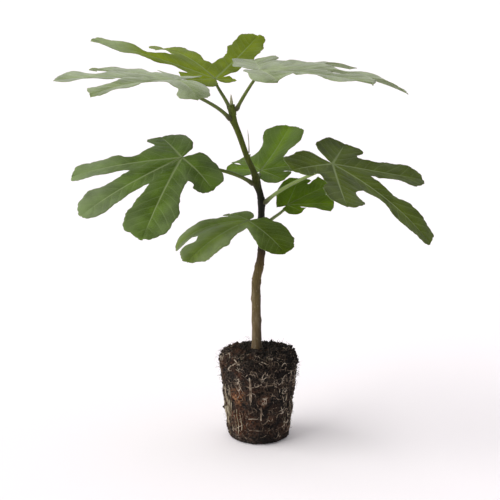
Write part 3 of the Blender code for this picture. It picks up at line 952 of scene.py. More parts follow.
def stem_at(height):
    """The stem's middle x and y and its radius at a height."""
    rows = np.array(STEM_ROUTE)
    return [float(np.interp(height, rows[:, 2], rows[:, column])) for column in (0, 1, 3)]


# %% The route of a stalk
STALK_FOOT_RADIUS = 1.9
STALK_TIP_RADIUS = 1.3
FOOT_SWELLING = (0.55, 0.07)             # how much, and over what part of the length
TIP_SWELLING = (0.20, 0.06)
STALK_LIFT = 0.35                        # how far above the straight line it leaves the stem
STALK_TURN = 0.40                        # how far it has turned to the middle rib at the hub
STALK_CLIMB = 0.50                       # how steeply it comes up to the hub from below
STALK_REIN = 0.33                        # how long each end keeps its direction, as a part
STALK_OFF_STEM = 0.6
STALK_IN_STEM = 2.4                      # how deep the foot is sunk, so no gap shows
STALK_RUN_ON = 14.0                      # how far it can be followed under the middle rib
STEPS_IN_STEM = 4
STEPS_FREE = 49
STEPS_UNDER_RIB = 8
RUN_ON_TAPER = 0.7


def unit(heading):
    """The same direction, 1 long."""
    return heading / np.linalg.norm(heading)


def stalk_route(leaf):
    """(x, y, z, radius) points from inside the stem to under the middle rib."""
    x, y, stem_radius = stem_at(leaf["joins"])
    joint = np.array([x, y, leaf["joins"]])
    hub = np.array(leaf["hub"], float)
    forward, _, up = leaf_axes(leaf)
    out = unit((hub - joint) * (1, 1, 0))
    straight = unit(hub - joint)
    heading = unit(straight + np.array([0.0, 0.0, STALK_LIFT]))
    off_stem = stem_radius + STALK_OFF_STEM + STALK_FOOT_RADIUS * heading[2]
    foot = joint + out * off_stem
    under_hub = hub - up * STALK_TIP_RADIUS
    rein = np.linalg.norm(under_hub - foot) * STALK_REIN
    landing = unit(straight + forward * STALK_TURN + up * STALK_CLIMB)
    bend = [foot, foot + heading * rein, under_hub - landing * rein, under_hub]
    part = np.linspace(0, 1, STEPS_FREE + 1)[:, None]
    rest = 1 - part
    free = (bend[0] * rest ** 3 + bend[1] * 3 * rest ** 2 * part
            + bend[2] * 3 * rest * part ** 2 + bend[3] * part ** 3)
    radius = STALK_FOOT_RADIUS * rest + STALK_TIP_RADIUS * part
    for way, (height, spread) in ((part, FOOT_SWELLING), (rest, TIP_SWELLING)):
        radius = radius + height * np.exp(-(way / spread) ** 2)
    inside = foot - out * (off_stem - stem_radius + STALK_IN_STEM)
    sunk = inside + (foot - inside) * np.linspace(0, 1, STEPS_IN_STEM + 1)[:-1, None]
    past = np.linspace(0, 1, STEPS_UNDER_RIB + 1)[1:, None]
    rib = on_leaf(leaf, polar(middle_lobe(leaf)[0], 1.0)[None] * past * STALK_RUN_ON)
    rib_radius = radius[-1] * (1 - RUN_ON_TAPER * past)
    return np.concatenate([
        np.concatenate([sunk, np.full((STEPS_IN_STEM, 1), radius[0, 0])], axis=1),
        np.concatenate([free, radius], axis=1),
        np.concatenate([rib - up * rib_radius, rib_radius], axis=1)])


# %% [markdown]
# The stalks are smooth and slightly hairy and green, and darker and browner where they join the
# stem. Two stalks that stand in the light get a lighter yellow green, as painted light.

# %% Finish of the stalks
STALK_GREEN = (0.100, 0.134, 0.020)
STALK_BROWN = (0.050, 0.048, 0.014)
# Painted light: these two stalks get a lighter green for standing in the light.
PAINTED_SUNLIT_STALKS = {"leaf_3_right": (0.20, 0.27, 0.075), "leaf_2_low_back": (0.16, 0.21, 0.06)}


def stalk_skin(name, green):
    """Streaked green, brown at the foot, with fine down."""
    finish = Finish(name)
    place = finish.place()
    chart = finish.add("ShaderNodeUVMap", {"uv_map": "tube_map"})
    along = finish.part_of(chart, "X")
    streak = finish.noise(finish.stretched(chart, (4.0, 22.0, 1.0)), 3.0, 3.0)
    down = finish.noise(place, 1800.0, 2.0)
    colour = finish.mottled(streak.rises(0.35, 0.65), green, 0.8, 1.2)
    colour = finish.mix(along.rises(0.22, 0.06), colour, STALK_BROWN)
    return finish.done(finish.surface(Base_Color=colour, Roughness=down * 0.2 + 0.38,
                                      Specular_IOR_Level=0.25, Sheen_Weight=0.15,
                                      Sheen_Roughness=0.5,
                                      Normal=finish.bump(down, 0.0002, 0.5)))


# %% Make the eight stalks
STALK_SIDES = 16

for name, leaf in LEAVES.items():
    stalk = rolled_tube(name + "_stalk", stalk_route(leaf), STALK_SIDES)
    skin = stalk_skin(name + "_stalk_skin", PAINTED_SUNLIT_STALKS.get(name, STALK_GREEN))
    settle(stalk, name, name + "_green", skin)

# %% [markdown]
# ## Stem
#
# The stem is one year's wood. Its foot is fawn, and low down its right side, away from the main
# light, is darkened as painted shade. The middle is nearly black, partly its own colour and partly
# painted shade under the leaves, and the top is still green. Each leaf that ever grew has left its
# mark: a ring round the stem, and a swelling on the side where its stalk was. The fine tube is rolled
# round the same middle line as the solid stem, and what is added to its radius makes the rings, the
# swellings and the shallow grooves of the bark.

# %% Rings and swellings
OLD_SCARS = ((118, 40), (140, 200), (157, 330), (172, 150), (186, 20), (199, 250))  # height, turn
RING_HEIGHT = 0.32
RING_WIDTH = 0.7
FURROW_BELOW = 1.6
FURROW_WIDTH = 0.8
FURROW_DEPTH = 0.6                       # as a part of the ring's height
JOINT_SWELLING = 1.1                     # on the stalk's side, reaching further down than up
JOINT_REACH_UP = 3.0
JOINT_REACH_DOWN = 5.5
SCAR_SWELLING = 0.75
SCAR_REACH = 2.6
JOINT_COLLAR = (0.35, 4.0, 3.5)          # thickening all round, its reach, how far up its ring is
SCAR_COLLAR = (0.25, 3.5, 2.5)


def hump(way, reach):
    """1 at 0, falling off smoothly over this reach."""
    return np.exp(-(way / reach) ** 2)


def ring_relief(above):
    """A ridge round the stem with a furrow under it."""
    furrow = FURROW_DEPTH * hump(above + FURROW_BELOW, FURROW_WIDTH)
    return RING_HEIGHT * (hump(above, RING_WIDTH) - furrow)


def collar(above, thickening, reach, ring):
    """The stem thickens all round at a joint or a scar, with a ring above it."""
    return thickening * hump(above, reach) + ring_relief(above - ring)


def marks_of_leaves(heights, out):
    """What the joints of the leaves, and the scars of those that fell, add to the radius."""
    extra = np.zeros(len(heights))
    for leaf in LEAVES.values():
        x, y, _ = stem_at(leaf["joins"])
        facing = out[:, :2] @ unit(np.array(leaf["hub"][:2]) - (x, y))
        above = heights - leaf["joins"]
        reach = np.where(above > 0, JOINT_REACH_UP, JOINT_REACH_DOWN)
        extra += JOINT_SWELLING * hump(above, reach) * np.clip(facing + 0.3, 0, 1)
        extra += collar(above, *JOINT_COLLAR)
    for height, turn in OLD_SCARS:
        facing = out[:, :2] @ polar(turn, 1.0)
        above = heights - height
        extra += SCAR_SWELLING * hump(above, SCAR_REACH) * np.clip(facing, 0, 1) ** 2
        extra += collar(above, *SCAR_COLLAR)
    return extra


# %% Bark relief and root flare
GRAIN_DEPTH = 0.16                       # long grooves along the stem
PIT_DEPTH = 0.12                         # short, uneven hollows
WOOD_ENDS = 250                          # above this height the bark is young and smooth
WOOD_FADES_OVER = 60
YOUNG_SHARE = 0.3
FLARE = 1.6                              # where the stem widens into the first roots
FLARE_HEIGHT = 86
FLARE_REACH = 4.0


def bark_relief(places, scale, shift):
    """Soft noise at places near the bark, stretched by a scale and moved by a shift."""
    return np.array([noise.noise(Vector(place)) for place in places * scale + shift])


def stem_swell(places, out):
    """What rings, joints and bark add to the stem's radius."""
    heights = places[:, 2]
    near_bark = places + out * 4.0
    grain = bark_relief(near_bark, (0.9, 0.9, 0.10), (40, 0, 0))
    pits = bark_relief(near_bark, (0.7, 0.7, 0.45), (0, 9, 0))
    woody = np.clip((WOOD_ENDS - heights) / WOOD_FADES_OVER, YOUNG_SHARE, 1)
    flare = FLARE * np.exp(-np.clip(heights - FLARE_HEIGHT, 0, None) / FLARE_REACH)
    return (marks_of_leaves(heights, out) + flare
            + woody * (GRAIN_DEPTH * grain + PIT_DEPTH * pits))


# %% Bark finish
# The bark's colour at heights in metres, up to where the ramp ends. The nearly black band from
# 0.19 to 0.25 m is partly the bark's own dark colour and partly painted shade under the leaves.
BARK_COLOURS = (
    (0.080, (0.130, 0.084, 0.044)), (0.100, (0.145, 0.102, 0.050)),
    (0.144, (0.150, 0.112, 0.044)), (0.168, (0.118, 0.084, 0.025)),
    (0.182, (0.060, 0.036, 0.014)), (0.192, (0.014, 0.012, 0.007)),
    (0.246, (0.011, 0.012, 0.005)), (0.258, (0.056, 0.066, 0.009)),
    (0.288, (0.088, 0.112, 0.012)), (0.336, (0.095, 0.125, 0.016)),
)
RAMP_ENDS = 0.4
COLOUR_WANDER = 0.016                    # how unevenly the colours change round the stem
OLD_BARK_PATCH = (0.26, 0.21, 0.135)
BARK_DOT = (0.30, 0.24, 0.16)
# Painted shade for the right side of the stem's foot.
PAINTED_BARK_SHADE = (0.030, 0.020, 0.012)


def bark_skin():
    """Fawn at the foot with painted shade on its right side, nearly black in the middle, partly as
    painted shade, green at the top.
    """
    finish = Finish("bark")
    place = finish.place()
    height = finish.part_of(place, "Z")
    wander = (finish.noise(place, 60.0, 3.0) - 0.5) * COLOUR_WANDER
    stops = [(level / RAMP_ENDS, colour) for level, colour in BARK_COLOURS]
    colour = finish.add("ShaderNodeValToRGB", {"stops": stops},
                        {"Fac": (height + wander) * (1 / RAMP_ENDS)})
    streak = finish.noise(finish.stretched(place, (1.0, 1.0, 0.10)), 700.0, 4.0, 0.6)
    patch = finish.noise(finish.stretched(place, (1.0, 1.0, 0.35)), 160.0, 3.0)
    dots = finish.cells(finish.stretched(place, (1.0, 1.0, 0.6)), 330.0).rises(0.24, 0.12)
    groove = finish.mix(1.0, colour, (0.62, 0.60, 0.58), "MULTIPLY")
    colour = finish.mix(streak.rises(0.32, 0.68), groove, colour)
    old = 1 - height.rises(0.160, 0.185)
    colour = finish.mix(patch.rises(0.50, 0.72) * old * 0.40, colour, OLD_BARK_PATCH)
    colour = finish.mix(dots * old * 0.35, colour, BARK_DOT)
    # Painted shade: the right side of the lower stem, away from the main light, darkens in streaks.
    painted_shade_side = finish.part_of(place, "X").rises(-0.0015, 0.0025) * height.rises(0.165, 0.150)
    colour = finish.mix(painted_shade_side * streak.rises(0.25, 0.55) * 0.75, colour, PAINTED_BARK_SHADE)
    relief = streak * 0.7 + dots * 0.5 + patch * 0.3
    return finish.done(finish.surface(Base_Color=colour, Roughness=streak * 0.25 + 0.45,
                                      Specular_IOR_Level=0.16,
                                      Normal=finish.bump(relief, 0.0005, 0.8)))


# %% Make the stem
STEM_RINGS = 300
STEM_SIDES = 32

stem = rolled_tube("stem_bark", smooth_route(STEM_ROUTE, STEM_RINGS), STEM_SIDES, stem_swell)
settle(stem, "stem", "bark", bark_skin())

# %% [markdown]
# ## Bud and dry stipule
#
# The tip ends in a pointed bud wrapped in two pale brown sheaths, whose edges wind round it. Lower
# down one such sheath has dried and stands off the stem like a bristle. It is a thin strip, curled
# to a gutter.

# %% Bud
BUD_LENGTH = 10.0
BUD_LEAN = 0.6
BUD_SUNK = 1.0                           # its foot starts this far inside the stem's tip
BUD_SHAPE = ((0.0, 1.7), (0.15, 1.6), (0.4, 1.35), (0.65, 0.9), (0.85, 0.45), (0.97, 0.15))
BUD_RINGS = 40
BUD_SIDES = 24
SHEATH_STEP = 0.44
SHEATH_TURNS = 1.6                       # how often a sheath's edge winds round the bud


def sheath_swell(places, out):
    """A small step where the edge of a sheath winds round the bud."""
    turn = np.arctan2(out[:, 1], out[:, 0]) / (2 * math.pi)
    part = (places[:, 2] - STEM_ROUTE[-1][2]) / BUD_LENGTH
    return SHEATH_STEP * ((turn + part * SHEATH_TURNS) % 0.5) * np.clip(1 - part, 0, 1)


def sheath_skin(name, brown, green):
    """Papery pale brown in fine streaks, greener in places."""
    finish = Finish(name)
    place = finish.place()
    streak = finish.noise(finish.stretched(place, (1.0, 1.0, 0.12)), 900.0, 3.0)
    share = finish.noise(place, 200.0, 2.0).rises(0.42, 0.62)
    colour = finish.mottled(streak.rises(0.3, 0.7), brown, 0.65, 1.0)
    colour = finish.mix(share * 0.6, colour, green)
    return finish.done(finish.surface(Base_Color=colour, Roughness=0.6,
                                      Normal=finish.bump(streak, 0.0003, 0.6)))


tip_x, tip_y, tip_z, _ = STEM_ROUTE[-1]
bud_points = [(tip_x - BUD_LEAN * part, tip_y,
               tip_z - BUD_SUNK + (BUD_LENGTH + BUD_SUNK) * part, radius)
              for part, radius in BUD_SHAPE]
bud = rolled_tube("terminal_bud_sheaths", smooth_route(bud_points, BUD_RINGS), BUD_SIDES,
                  sheath_swell)
settle(bud, "terminal_bud", "bud_skin",
       sheath_skin("bud_sheath", (0.40, 0.38, 0.24), (0.24, 0.28, 0.11)))

# %% Dry stipule
STIPULE_FOOT = (-9.6, 0.0, 283.0)
STIPULE_TIP = (-10.9, -0.6, 306.0)
STIPULE_BOW = 0.5
STIPULE_WIDTH = 1.5
STIPULE_THICKNESS = 0.16
STIPULE_ROWS = 30
STIPULE_COLUMNS = 6
STIPULE_OUT = np.array([1.0, 0.25, 0.0])        # across the gutter
STIPULE_BACK = np.array([0.25, -1.0, 0.0])      # and where its hollow side faces

stipule, grid = new_grid("dry_stipule_strip", STIPULE_ROWS, STIPULE_COLUMNS)
along = ((grid[:, 0] + 1) / 2)[:, None]
across = grid[:, 1][:, None]
line = (np.array(STIPULE_FOOT) * (1 - along) + np.array(STIPULE_TIP) * along
        + np.array([STIPULE_BOW, 0.0, 0.0]) * 4 * along * (1 - along))
wide = STIPULE_WIDTH / 2 * (1 - along) ** 0.6 * (0.85 + 0.15 * np.cos(along * 9))
curl = across * (1.0 + 0.6 * along)
gutter = STIPULE_OUT * np.sin(curl) + STIPULE_BACK * np.cos(curl)
move_corners(stipule.data, (line + gutter * wide) * MM)
merge_points(stipule, MERGE_TUBE)
apply_modifier(stipule, "SOLIDIFY", "thickness", thickness=STIPULE_THICKNESS * MM, offset=0.0)
outward_normals(stipule)
settle(stipule, "dry_stipule", "dry_skin",
       sheath_skin("dry_sheath", (0.42, 0.42, 0.33), (0.32, 0.32, 0.24)))
# %% [markdown]
# ## Root ball
#
# The ball keeps the shape of the tapered pot that it came out of, but its rim has crumbled round.
# It is nearly black compost in clods and crumbs, bound by pale roots that followed the pot's wall.
# The ball is one rolled surface whose outline is given from under its middle, up its side and over
# to the stem. Clods, crumbs and cracks come from noise patterns that push the surface in and out.

# %% Outline of the ball
# Radius and height, in millimetres, from under the middle to the top middle.
BALL_OUTLINE = ((0.0, 0.0), (15.0, 0.0), (25.0, 0.0), (28.6, 0.6), (30.2, 3.0), (31.4, 12.0),
                (33.6, 32.0), (36.0, 53.0), (38.0, 70.0), (38.8, 77.0), (37.6, 81.4),
                (34.8, 85.6), (29.0, 88.4), (20.0, 89.8), (11.0, 89.4), (5.0, 89.8), (0.0, 90.0))
OUTLINE_STEPS = 600

fine_outline = smooth_route(BALL_OUTLINE, OUTLINE_STEPS)
outline_walked = np.concatenate([
    [0.0], np.cumsum(np.linalg.norm(np.diff(fine_outline, axis=0), axis=1))])
outline_ahead = np.gradient(fine_outline, axis=0)
outline_ahead = outline_ahead / np.linalg.norm(outline_ahead, axis=1, keepdims=True)
OUTLINE_LENGTH = float(outline_walked[-1])
print("the ball's outline is", round(OUTLINE_LENGTH, 1), "mm long")


def ball_line(shares):
    """Radius, height and the outward direction in the outline, at shares 0 to 1 of its length."""
    columns = (fine_outline[:, 0], fine_outline[:, 1], outline_ahead[:, 1], -outline_ahead[:, 0])
    return [np.interp(shares * OUTLINE_LENGTH, outline_walked, column) for column in columns]


def ball_places(shares, turns, lift):
    """Places on the ball at shares up its outline and turns in radians, lifted off it."""
    radius, height, out, up = ball_line(shares)
    reach = np.maximum(radius + out * lift, 0.0)
    return np.stack([reach * np.cos(turns), reach * np.sin(turns), height + up * lift], axis=1)


# %% Relief of the compost
CLOD_SIZE = 11.0
CLOD_HEIGHT = 1.9
CRUMB_SIZE = 4.0
CRUMB_HEIGHT = 2.0
CRACK_DEPTH = 0.62                       # as a part of the crumbs' height
GRIT_SIZE = 1.4
GRIT_HEIGHT = 0.55
USUAL_ROUGHNESS = 0.65
UNEVEN_ROUGHNESS = 0.6                   # how much it differs from place to place
UNEVEN_SIZE = 8.0
RIM_ROUGHNESS = 0.5                      # added over the rim, where the ball crumbled
RIM_STARTS = 62.0
RIM_GROWS_OVER = 14.0


def compost_relief(place):
    """How far compost stands out at a place in millimetres: clods, crumbs and the cracks."""
    point = Vector(place)
    clod = noise.noise(point / CLOD_SIZE) * CLOD_HEIGHT
    distances, _ = noise.voronoi(point / CRUMB_SIZE)
    crumb = min(1.0, (distances[1] - distances[0]) * 2.0) - CRACK_DEPTH
    grit = noise.fractal(point / GRIT_SIZE, 1.0, 2.0, 2) * GRIT_HEIGHT
    at_rim = min(1.0, max(0.0, (point.z - RIM_STARTS) / RIM_GROWS_OVER))
    rough = (USUAL_ROUGHNESS + UNEVEN_ROUGHNESS * noise.noise(point / UNEVEN_SIZE)
             + RIM_ROUGHNESS * at_rim)
    return clod + (crumb * CRUMB_HEIGHT + grit) * rough


# %% Compost finish
DARK_COMPOST = (0.0035, 0.0028, 0.0024)
BROWN_CRUMB = (0.040, 0.026, 0.019)
RED_CRUMB = (0.105, 0.048, 0.029)
FOOT_RUST = (0.095, 0.036, 0.016)
ROTTED_BARK = (0.120, 0.040, 0.016)
FRESH_BARK = (0.330, 0.165, 0.080)
OTHER_RUST = (0.120, 0.055, 0.030)
PALE_BIT = (0.150, 0.120, 0.095)
# Painted shade for dark hollows in the compost.
PAINTED_PIT_SHADE = (0.0040, 0.0030, 0.0026)
# Where the rust is, as (place, distance where it ends, distance where it is full), in metres.
RUST_SPOT = ((-0.0205, -0.0275, 0.0490), 0.0225, 0.0145)
RUST_FOOT = ((-0.0160, -0.0285, 0.0220), 0.032, 0.014)
RUST_RAGGEDNESS = 0.020


def rusty_near(finish, place, spot, ends, full):
    """1 near a spot and 0 away from it, with a ragged edge."""
    away = finish.add("ShaderNodeVectorMath", {"operation": "DISTANCE"}, {0: place, 1: spot},
                      "Value")
    return (away + finish.noise(place, 160.0, 3.0) * RUST_RAGGEDNESS).rises(ends, full)


def compost():
    """Nearly black, with brown crumbs, redder on the left, where a rusty patch lies, and painted
    shade in hollows, most on the right.
    """
    finish = Finish("compost")
    place = finish.place()
    crumbs = finish.noise(place, 420.0, 4.0, 0.7)
    bits = finish.cells(place, 520.0).rises(0.55, 0.15)
    broad = finish.noise(place, 70.0, 3.0)
    leftwards = finish.part_of(place, "X").rises(0.012, -0.022)
    reddish = broad.rises(0.48, 0.66) * (leftwards * 0.55 + 0.20) * crumbs.rises(0.3, 0.6)
    spot = rusty_near(finish, place, *RUST_SPOT) * crumbs.rises(0.38, 0.60)
    foot = rusty_near(finish, place, *RUST_FOOT) * crumbs.rises(0.36, 0.60)
    other = finish.noise(finish.stretched(place, (1.0, 1.0, 0.7)), 46.0, 2.0).rises(0.55, 0.68)
    rotted = finish.mix(finish.noise(place, 300.0, 3.0).rises(0.42, 0.60), ROTTED_BARK,
                        FRESH_BARK)
    # Painted shade: dark hollows in the compost, more of them on the right side, away from the main
    # light.
    pits = finish.noise(place, 90.0, 2.0).rises(0.49, 0.57) * (1 - leftwards * 0.6)
    colour = finish.mix(crumbs.rises(0.42, 0.68), DARK_COMPOST, BROWN_CRUMB)
    for share, layer in ((reddish, RED_CRUMB), (foot, FOOT_RUST), (spot, rotted),
                         (other * crumbs.rises(0.35, 0.6) * 0.7, OTHER_RUST),
                         (bits * broad.rises(0.62, 0.45) * 0.35, PALE_BIT),
                         (pits * 0.80, PAINTED_PIT_SHADE)):
        colour = finish.mix(share, colour, layer)
    return finish.done(finish.surface(Base_Color=colour, Roughness=0.88, Specular_IOR_Level=0.22,
                                      Normal=finish.bump(crumbs + bits * 0.4, 0.0014, 1.0)))


# %% Make the ball
BALL_STEPS_ROUND = 350
BALL_STEPS_UP = 230
FOOT_SHARE = 0.17                        # up to here the underside stays flat
FOOT_FADES_OVER = 0.06
MERGE_BALL = 0.02

ball, grid = new_grid("root_ball_compost", BALL_STEPS_UP, BALL_STEPS_ROUND)
shares = (grid[:, 0] + 1) / 2
turns = grid[:, 1] * math.pi
smooth = ball_places(shares, turns, np.zeros(len(shares)))
relief = np.array([compost_relief(place) for place in smooth])
lifted = np.clip((shares - FOOT_SHARE) / FOOT_FADES_OVER, 0, 1)
shaped = ball_places(shares, turns, relief * lifted)
shaped[:, 2] = np.maximum(shaped[:, 2], 0.0)
move_corners(ball.data, shaped * MM)
merge_points(ball, MERGE_BALL)
outward_normals(ball)
soil = compost()
settle(ball, "root_ball", "soil", soil)

# %% [markdown]
# Loose crumbs lie on the top and stick to the worn rim, and smaller ones cling to the side. One
# angular crumb is modelled, and each copy of it is turned, stretched and set into the compost.

# %% Loose crumbs
# (how many, lowest and highest share of the outline, smallest size, how much larger at most)
CRUMBS = ((380, (0.69, 0.95), 0.7, 1.5), (200, (0.24, 0.70), 0.5, 0.9))
CRUMB_STANDS = 0.25                      # its middle above the compost, as a part of its size
CRUMB_STRETCH = (0.6, 1.2)
CRUMB_CORNERS = (0.75, 1.25)             # how uneven a crumb's corners are
chance = random.Random(41)


def any_turn():
    """A random turn, in radians."""
    return chance.uniform(0, 2 * math.pi)


def crumb_copy(seed_crumb, share, turn, size):
    """A turned and stretched copy of the crumb, set into the ball's surface."""
    piece = seed_crumb.copy()
    piece.data = seed_crumb.data.copy()
    bpy.context.collection.objects.link(piece)
    place = ball_places(np.array([share]), np.array([turn]), np.array([0.0]))
    lift = compost_relief(place[0]) + size * CRUMB_STANDS
    place = ball_places(np.array([share]), np.array([turn]), np.array([lift]))[0]
    turned = Euler([any_turn() for _ in range(3)]).to_matrix()
    stretch = np.array([chance.uniform(*CRUMB_STRETCH) for _ in range(3)])
    corners = corners_of(piece.data) * stretch * size
    move_corners(piece.data, (corners @ np.array(turned) + place) * MM)
    return piece


bpy.ops.mesh.primitive_ico_sphere_add(subdivisions=1, radius=1)
seed_crumb = bpy.context.object
move_corners(seed_crumb.data, np.array([
    [part * chance.uniform(*CRUMB_CORNERS) for part in corner]
    for corner in corners_of(seed_crumb.data)]))
crumbs = [crumb_copy(seed_crumb, chance.uniform(*span), any_turn(),
                     smallest + larger * chance.random() ** 2)
          for count, span, smallest, larger in CRUMBS for _ in range(count)]
bpy.data.objects.remove(seed_crumb)
loose = join_pieces(crumbs, "loose_crumbs")
settle(loose, "root_ball", "soil", soil)

# %% [markdown]
# ## Roots
#
# Where roots met the pot they turned and followed its wall. Near the rim they curl into a loose
# net, and on the side they run down, thicker and straighter, to circle at the foot. Each root is one
# spline in a single curve object with a round bevel, turned into a mesh. Its route is a walk over
# the ball's surface: at every step its heading drifts a little, more for the curly ones. Fine hairs
# stand off the rim and the side, so that the ball's edge looks fuzzy.

# %% Root routes
ROOT_STEP = 1.1
ROOTS_FROM = 0.22                        # as shares of the outline
ROOTS_TO = 0.86
DRIFT_KEPT = 0.72                        # how much of its turning a root keeps at each step
ROOT_WAVE = 0.9                          # how far a root rises and dips over the clods
LEAST_RADIUS = 4.0                       # keeps a root at the top from whirling round
UPRIGHT_POINTS = 16
SIDE_SHARES = np.linspace(0.2, 0.72, 400)
HAIR_POINTS = 6
HAIR_TAPER = 0.7
USUAL_RADIUS = 34.0                      # of the ball, where hairs grow


def on_compost(walk, lift):
    """Places over the clods for (share, turn) rows, at a lift above them."""
    flat = ball_places(walk[:, 0], walk[:, 1], np.zeros(len(walk)))
    relief = np.array([compost_relief(place) for place in flat])
    softened = np.convolve(np.pad(relief, 2, mode="edge"), np.full(5, 0.2), mode="valid")
    return ball_places(walk[:, 0], walk[:, 1], softened + lift)


def root_route(share, turn, heading, length, curl, radius, highest=ROOTS_TO):
    """A walk over the ball. heading 0 climbs and 90 goes round it, in degrees."""
    drift = 0.0
    steps = int(length / ROOT_STEP)
    walk = []
    for step in range(steps + 1):
        walk.append((share, turn))
        drift = drift * DRIFT_KEPT + chance.gauss(0.0, curl)
        heading += drift
        ahead = ROOT_STEP * math.cos(math.radians(heading)) / OUTLINE_LENGTH
        if not ROOTS_FROM < share + ahead < highest:
            heading = 180 - heading
            ahead = -ahead
        across = ball_line(np.array([share]))[0][0]
        share += ahead
        turn += ROOT_STEP * math.sin(math.radians(heading)) / max(across, LEAST_RADIUS)
    walk = np.array(walk)
    waves = [noise.noise(Vector((share * 40, turn * 6, length))) for share, turn in walk]
    lift = radius * 0.3 + ROOT_WAVE * np.array(waves)
    part = np.linspace(0, 1, len(walk))
    thick = radius * (0.35 + 0.65 * np.sin(math.pi * np.clip(part, 0.10, 0.90)))
    return np.concatenate([on_compost(walk, lift), thick[:, None]], axis=1)


def upright_root(turn, low, high, radius, wander=2.0):
    """A nearly straight root down the side between two heights in millimetres."""
    part = np.linspace(0, 1, UPRIGHT_POINTS)
    heights = ball_line(SIDE_SHARES)[1]
    walk = np.stack([
        np.interp(low + (high - low) * part, heights, SIDE_SHARES),
        np.radians(turn + wander * np.sin(part * 5 + turn) * part)], axis=1)
    thick = radius * (0.5 + 0.5 * np.sin(math.pi * np.clip(part, 0.08, 0.92)))
    return np.concatenate([on_compost(walk, radius * 0.6), thick[:, None]], axis=1)


def hair_route(share, turn, length, radius):
    """A fine hair that stands off the ball and curls over."""
    part = np.linspace(0, 1, HAIR_POINTS)
    sweep_up = chance.gauss(0.0, 0.5) * length / OUTLINE_LENGTH
    sweep_round = chance.gauss(0.0, 0.6) * length / USUAL_RADIUS
    walk = np.stack([share + sweep_up * part ** 1.5, turn + sweep_round * part ** 1.5], axis=1)
    lift = length * chance.uniform(0.35, 0.85) * np.sin(part * chance.uniform(1.3, 2.4))
    thick = radius * (1 - HAIR_TAPER * part)
    return np.concatenate([on_compost(walk, lift), thick[:, None]], axis=1)


# %% Roots from routes
LOWEST_ROOT = 0.2                        # the roots' middle lines stay this high above the floor
MERGE_ROOT = 0.001
ROOT_ROUNDNESS = 1                       # a bevel with 6 sides
HAIR_ROUNDNESS = 0                       # and one with 4


def drawn(name, routes, roundness):
    """One curve object with a spline for each route, made a mesh."""
    bpy.ops.curve.primitive_nurbs_path_add()
    piece = bpy.context.object
    piece.name = name
    curve = piece.data
    curve.splines.clear()
    curve.bevel_depth = MM
    curve.bevel_resolution = roundness
    curve.use_fill_caps = True
    for route in routes:
        spline = curve.splines.new("POLY")
        spline.points.add(len(route) - 1)
        for point, (x, y, z, radius) in zip(spline.points, route):
            point.co = (x * MM, y * MM, max(z, LOWEST_ROOT) * MM, 1.0)
            point.radius = radius
    bpy.ops.object.convert(target="MESH")
    piece = bpy.context.object
    piece.data.name = name
    merge_points(piece, MERGE_ROOT)
    outward_normals(piece)
    return piece


# %% Root finish
def root_skin(name, pale, middling, dark):
    """Pale, dirty and dark stretches along each root."""
    finish = Finish(name)
    place = finish.place()
    patch = finish.noise(place, 130.0, 3.0)
    grain = finish.noise(place, 1500.0, 3.0)
    colour = finish.mix(patch.rises(0.40, 0.50), dark, middling)
    colour = finish.mix(patch.rises(0.50, 0.62), colour, pale)
    colour = finish.mix(grain.rises(0.55, 0.75) * 0.5, colour, tinted(dark, 0.8))
    return finish.done(finish.surface(Base_Color=colour, Roughness=0.75, Specular_IOR_Level=0.25,
                                      Normal=finish.bump(grain, 0.0003, 0.7)))


# %% Groups of roots
# Turns are in degrees from the right; the front is 270 and the left is 180. A span is a lowest and
# a highest value, and each root takes a random one from it.
FULL_TURN = (0, 360)


def one_of(span):
    """A random value from a span, or the value itself where it isn't a span."""
    return chance.uniform(*span) if isinstance(span, tuple) else span


def root_group(count, share, heading, length, curl, radius, highest=ROOTS_TO):
    """Roots that start anywhere round the ball."""
    return [root_route(one_of(share), math.radians(one_of(FULL_TURN)), one_of(heading),
                       one_of(length), curl, one_of(radius), highest) for _ in range(count)]


def upright_group(count, turn, low, high, radius):
    """Nearly straight roots down the side."""
    return [upright_root(one_of(turn), one_of(low), one_of(high), one_of(radius))
            for _ in range(count)]


def hair_group(count, share, length, radius):
    """Fine hairs anywhere round the ball."""
    return [hair_route(one_of(share), math.radians(one_of(FULL_TURN)), one_of(length),
                       one_of(radius)) for _ in range(count)]


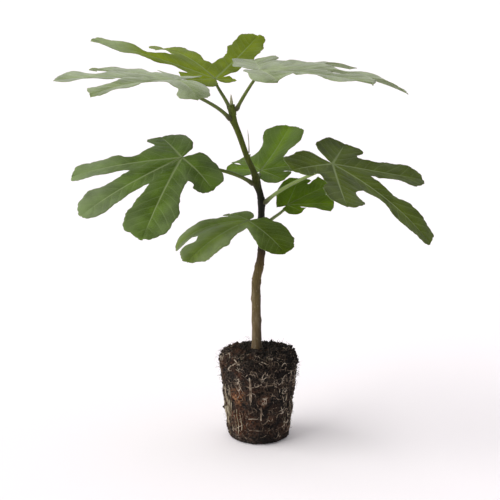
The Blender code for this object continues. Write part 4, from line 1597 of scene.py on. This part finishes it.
# %% Net of roots
# Two pale strips at the front, and five upright roots, as (turn, lowest and highest height).
PALE_STRIPS = ((255.9, 45, 71), (257.3, 43, 72), (258.7, 46, 70), (273.0, 27, 40),
               (274.4, 26, 39))
CLEAR_UPRIGHTS = ((203.0, 3, 50), (208.0, 6, 44), (226.0, 12, 34), (232.0, 10, 36),
                  (238.5, 14, 33))
CLEAR_ROOT_RADIUS = 0.50

rim_net = root_group(200, (0.56, 0.82), FULL_TURN, (9, 34), 17.0, (0.22, 0.50))
side_net = root_group(190, (0.25, 0.60), FULL_TURN, (8, 26), 15.0, (0.19, 0.44), 0.66)
strips = [upright_root(*strip_place, CLEAR_ROOT_RADIUS, 0.5) for strip_place in PALE_STRIPS]
circles = root_group(26, (0.235, 0.30), 90, (15, 45), 4.5, (0.2, 0.42), 0.34)
roots = drawn("root_net", rim_net + side_net + strips + circles, ROOT_ROUNDNESS)
settle(roots, "root_ball", "soil", root_skin(
    "net_root", (0.50, 0.42, 0.33), (0.22, 0.165, 0.118), (0.066, 0.042, 0.028)))

# %% Upright roots
strands = upright_group(13, (186, 222), (4, 24), (34, 62), (0.25, 0.50))
strands += upright_group(16, (-60, 180), (6, 34), (30, 62), (0.20, 0.40))
strands += [upright_root(*place, CLEAR_ROOT_RADIUS, 0.6) for place in CLEAR_UPRIGHTS]
uprights = drawn("upright_roots", strands, ROOT_ROUNDNESS)
settle(uprights, "root_ball", "soil", root_skin(
    "upright_root", (0.47, 0.41, 0.30), (0.27, 0.22, 0.14), (0.09, 0.06, 0.035)))

# %% Hairs
hairs = hair_group(330, (0.60, 0.84), (3, 8), (0.09, 0.17))
hairs += hair_group(260, (0.22, 0.62), (2, 6), (0.08, 0.15))
fuzz = drawn("root_hairs", hairs, HAIR_ROUNDNESS)
settle(fuzz, "root_ball", "soil", root_skin(
    "hair_root", (0.27, 0.20, 0.155), (0.11, 0.078, 0.058), (0.035, 0.026, 0.022)))
print("crumbs", len(crumbs), "roots", len(rim_net) + len(side_net) + len(circles) + len(strands),
      "hairs", len(hairs))
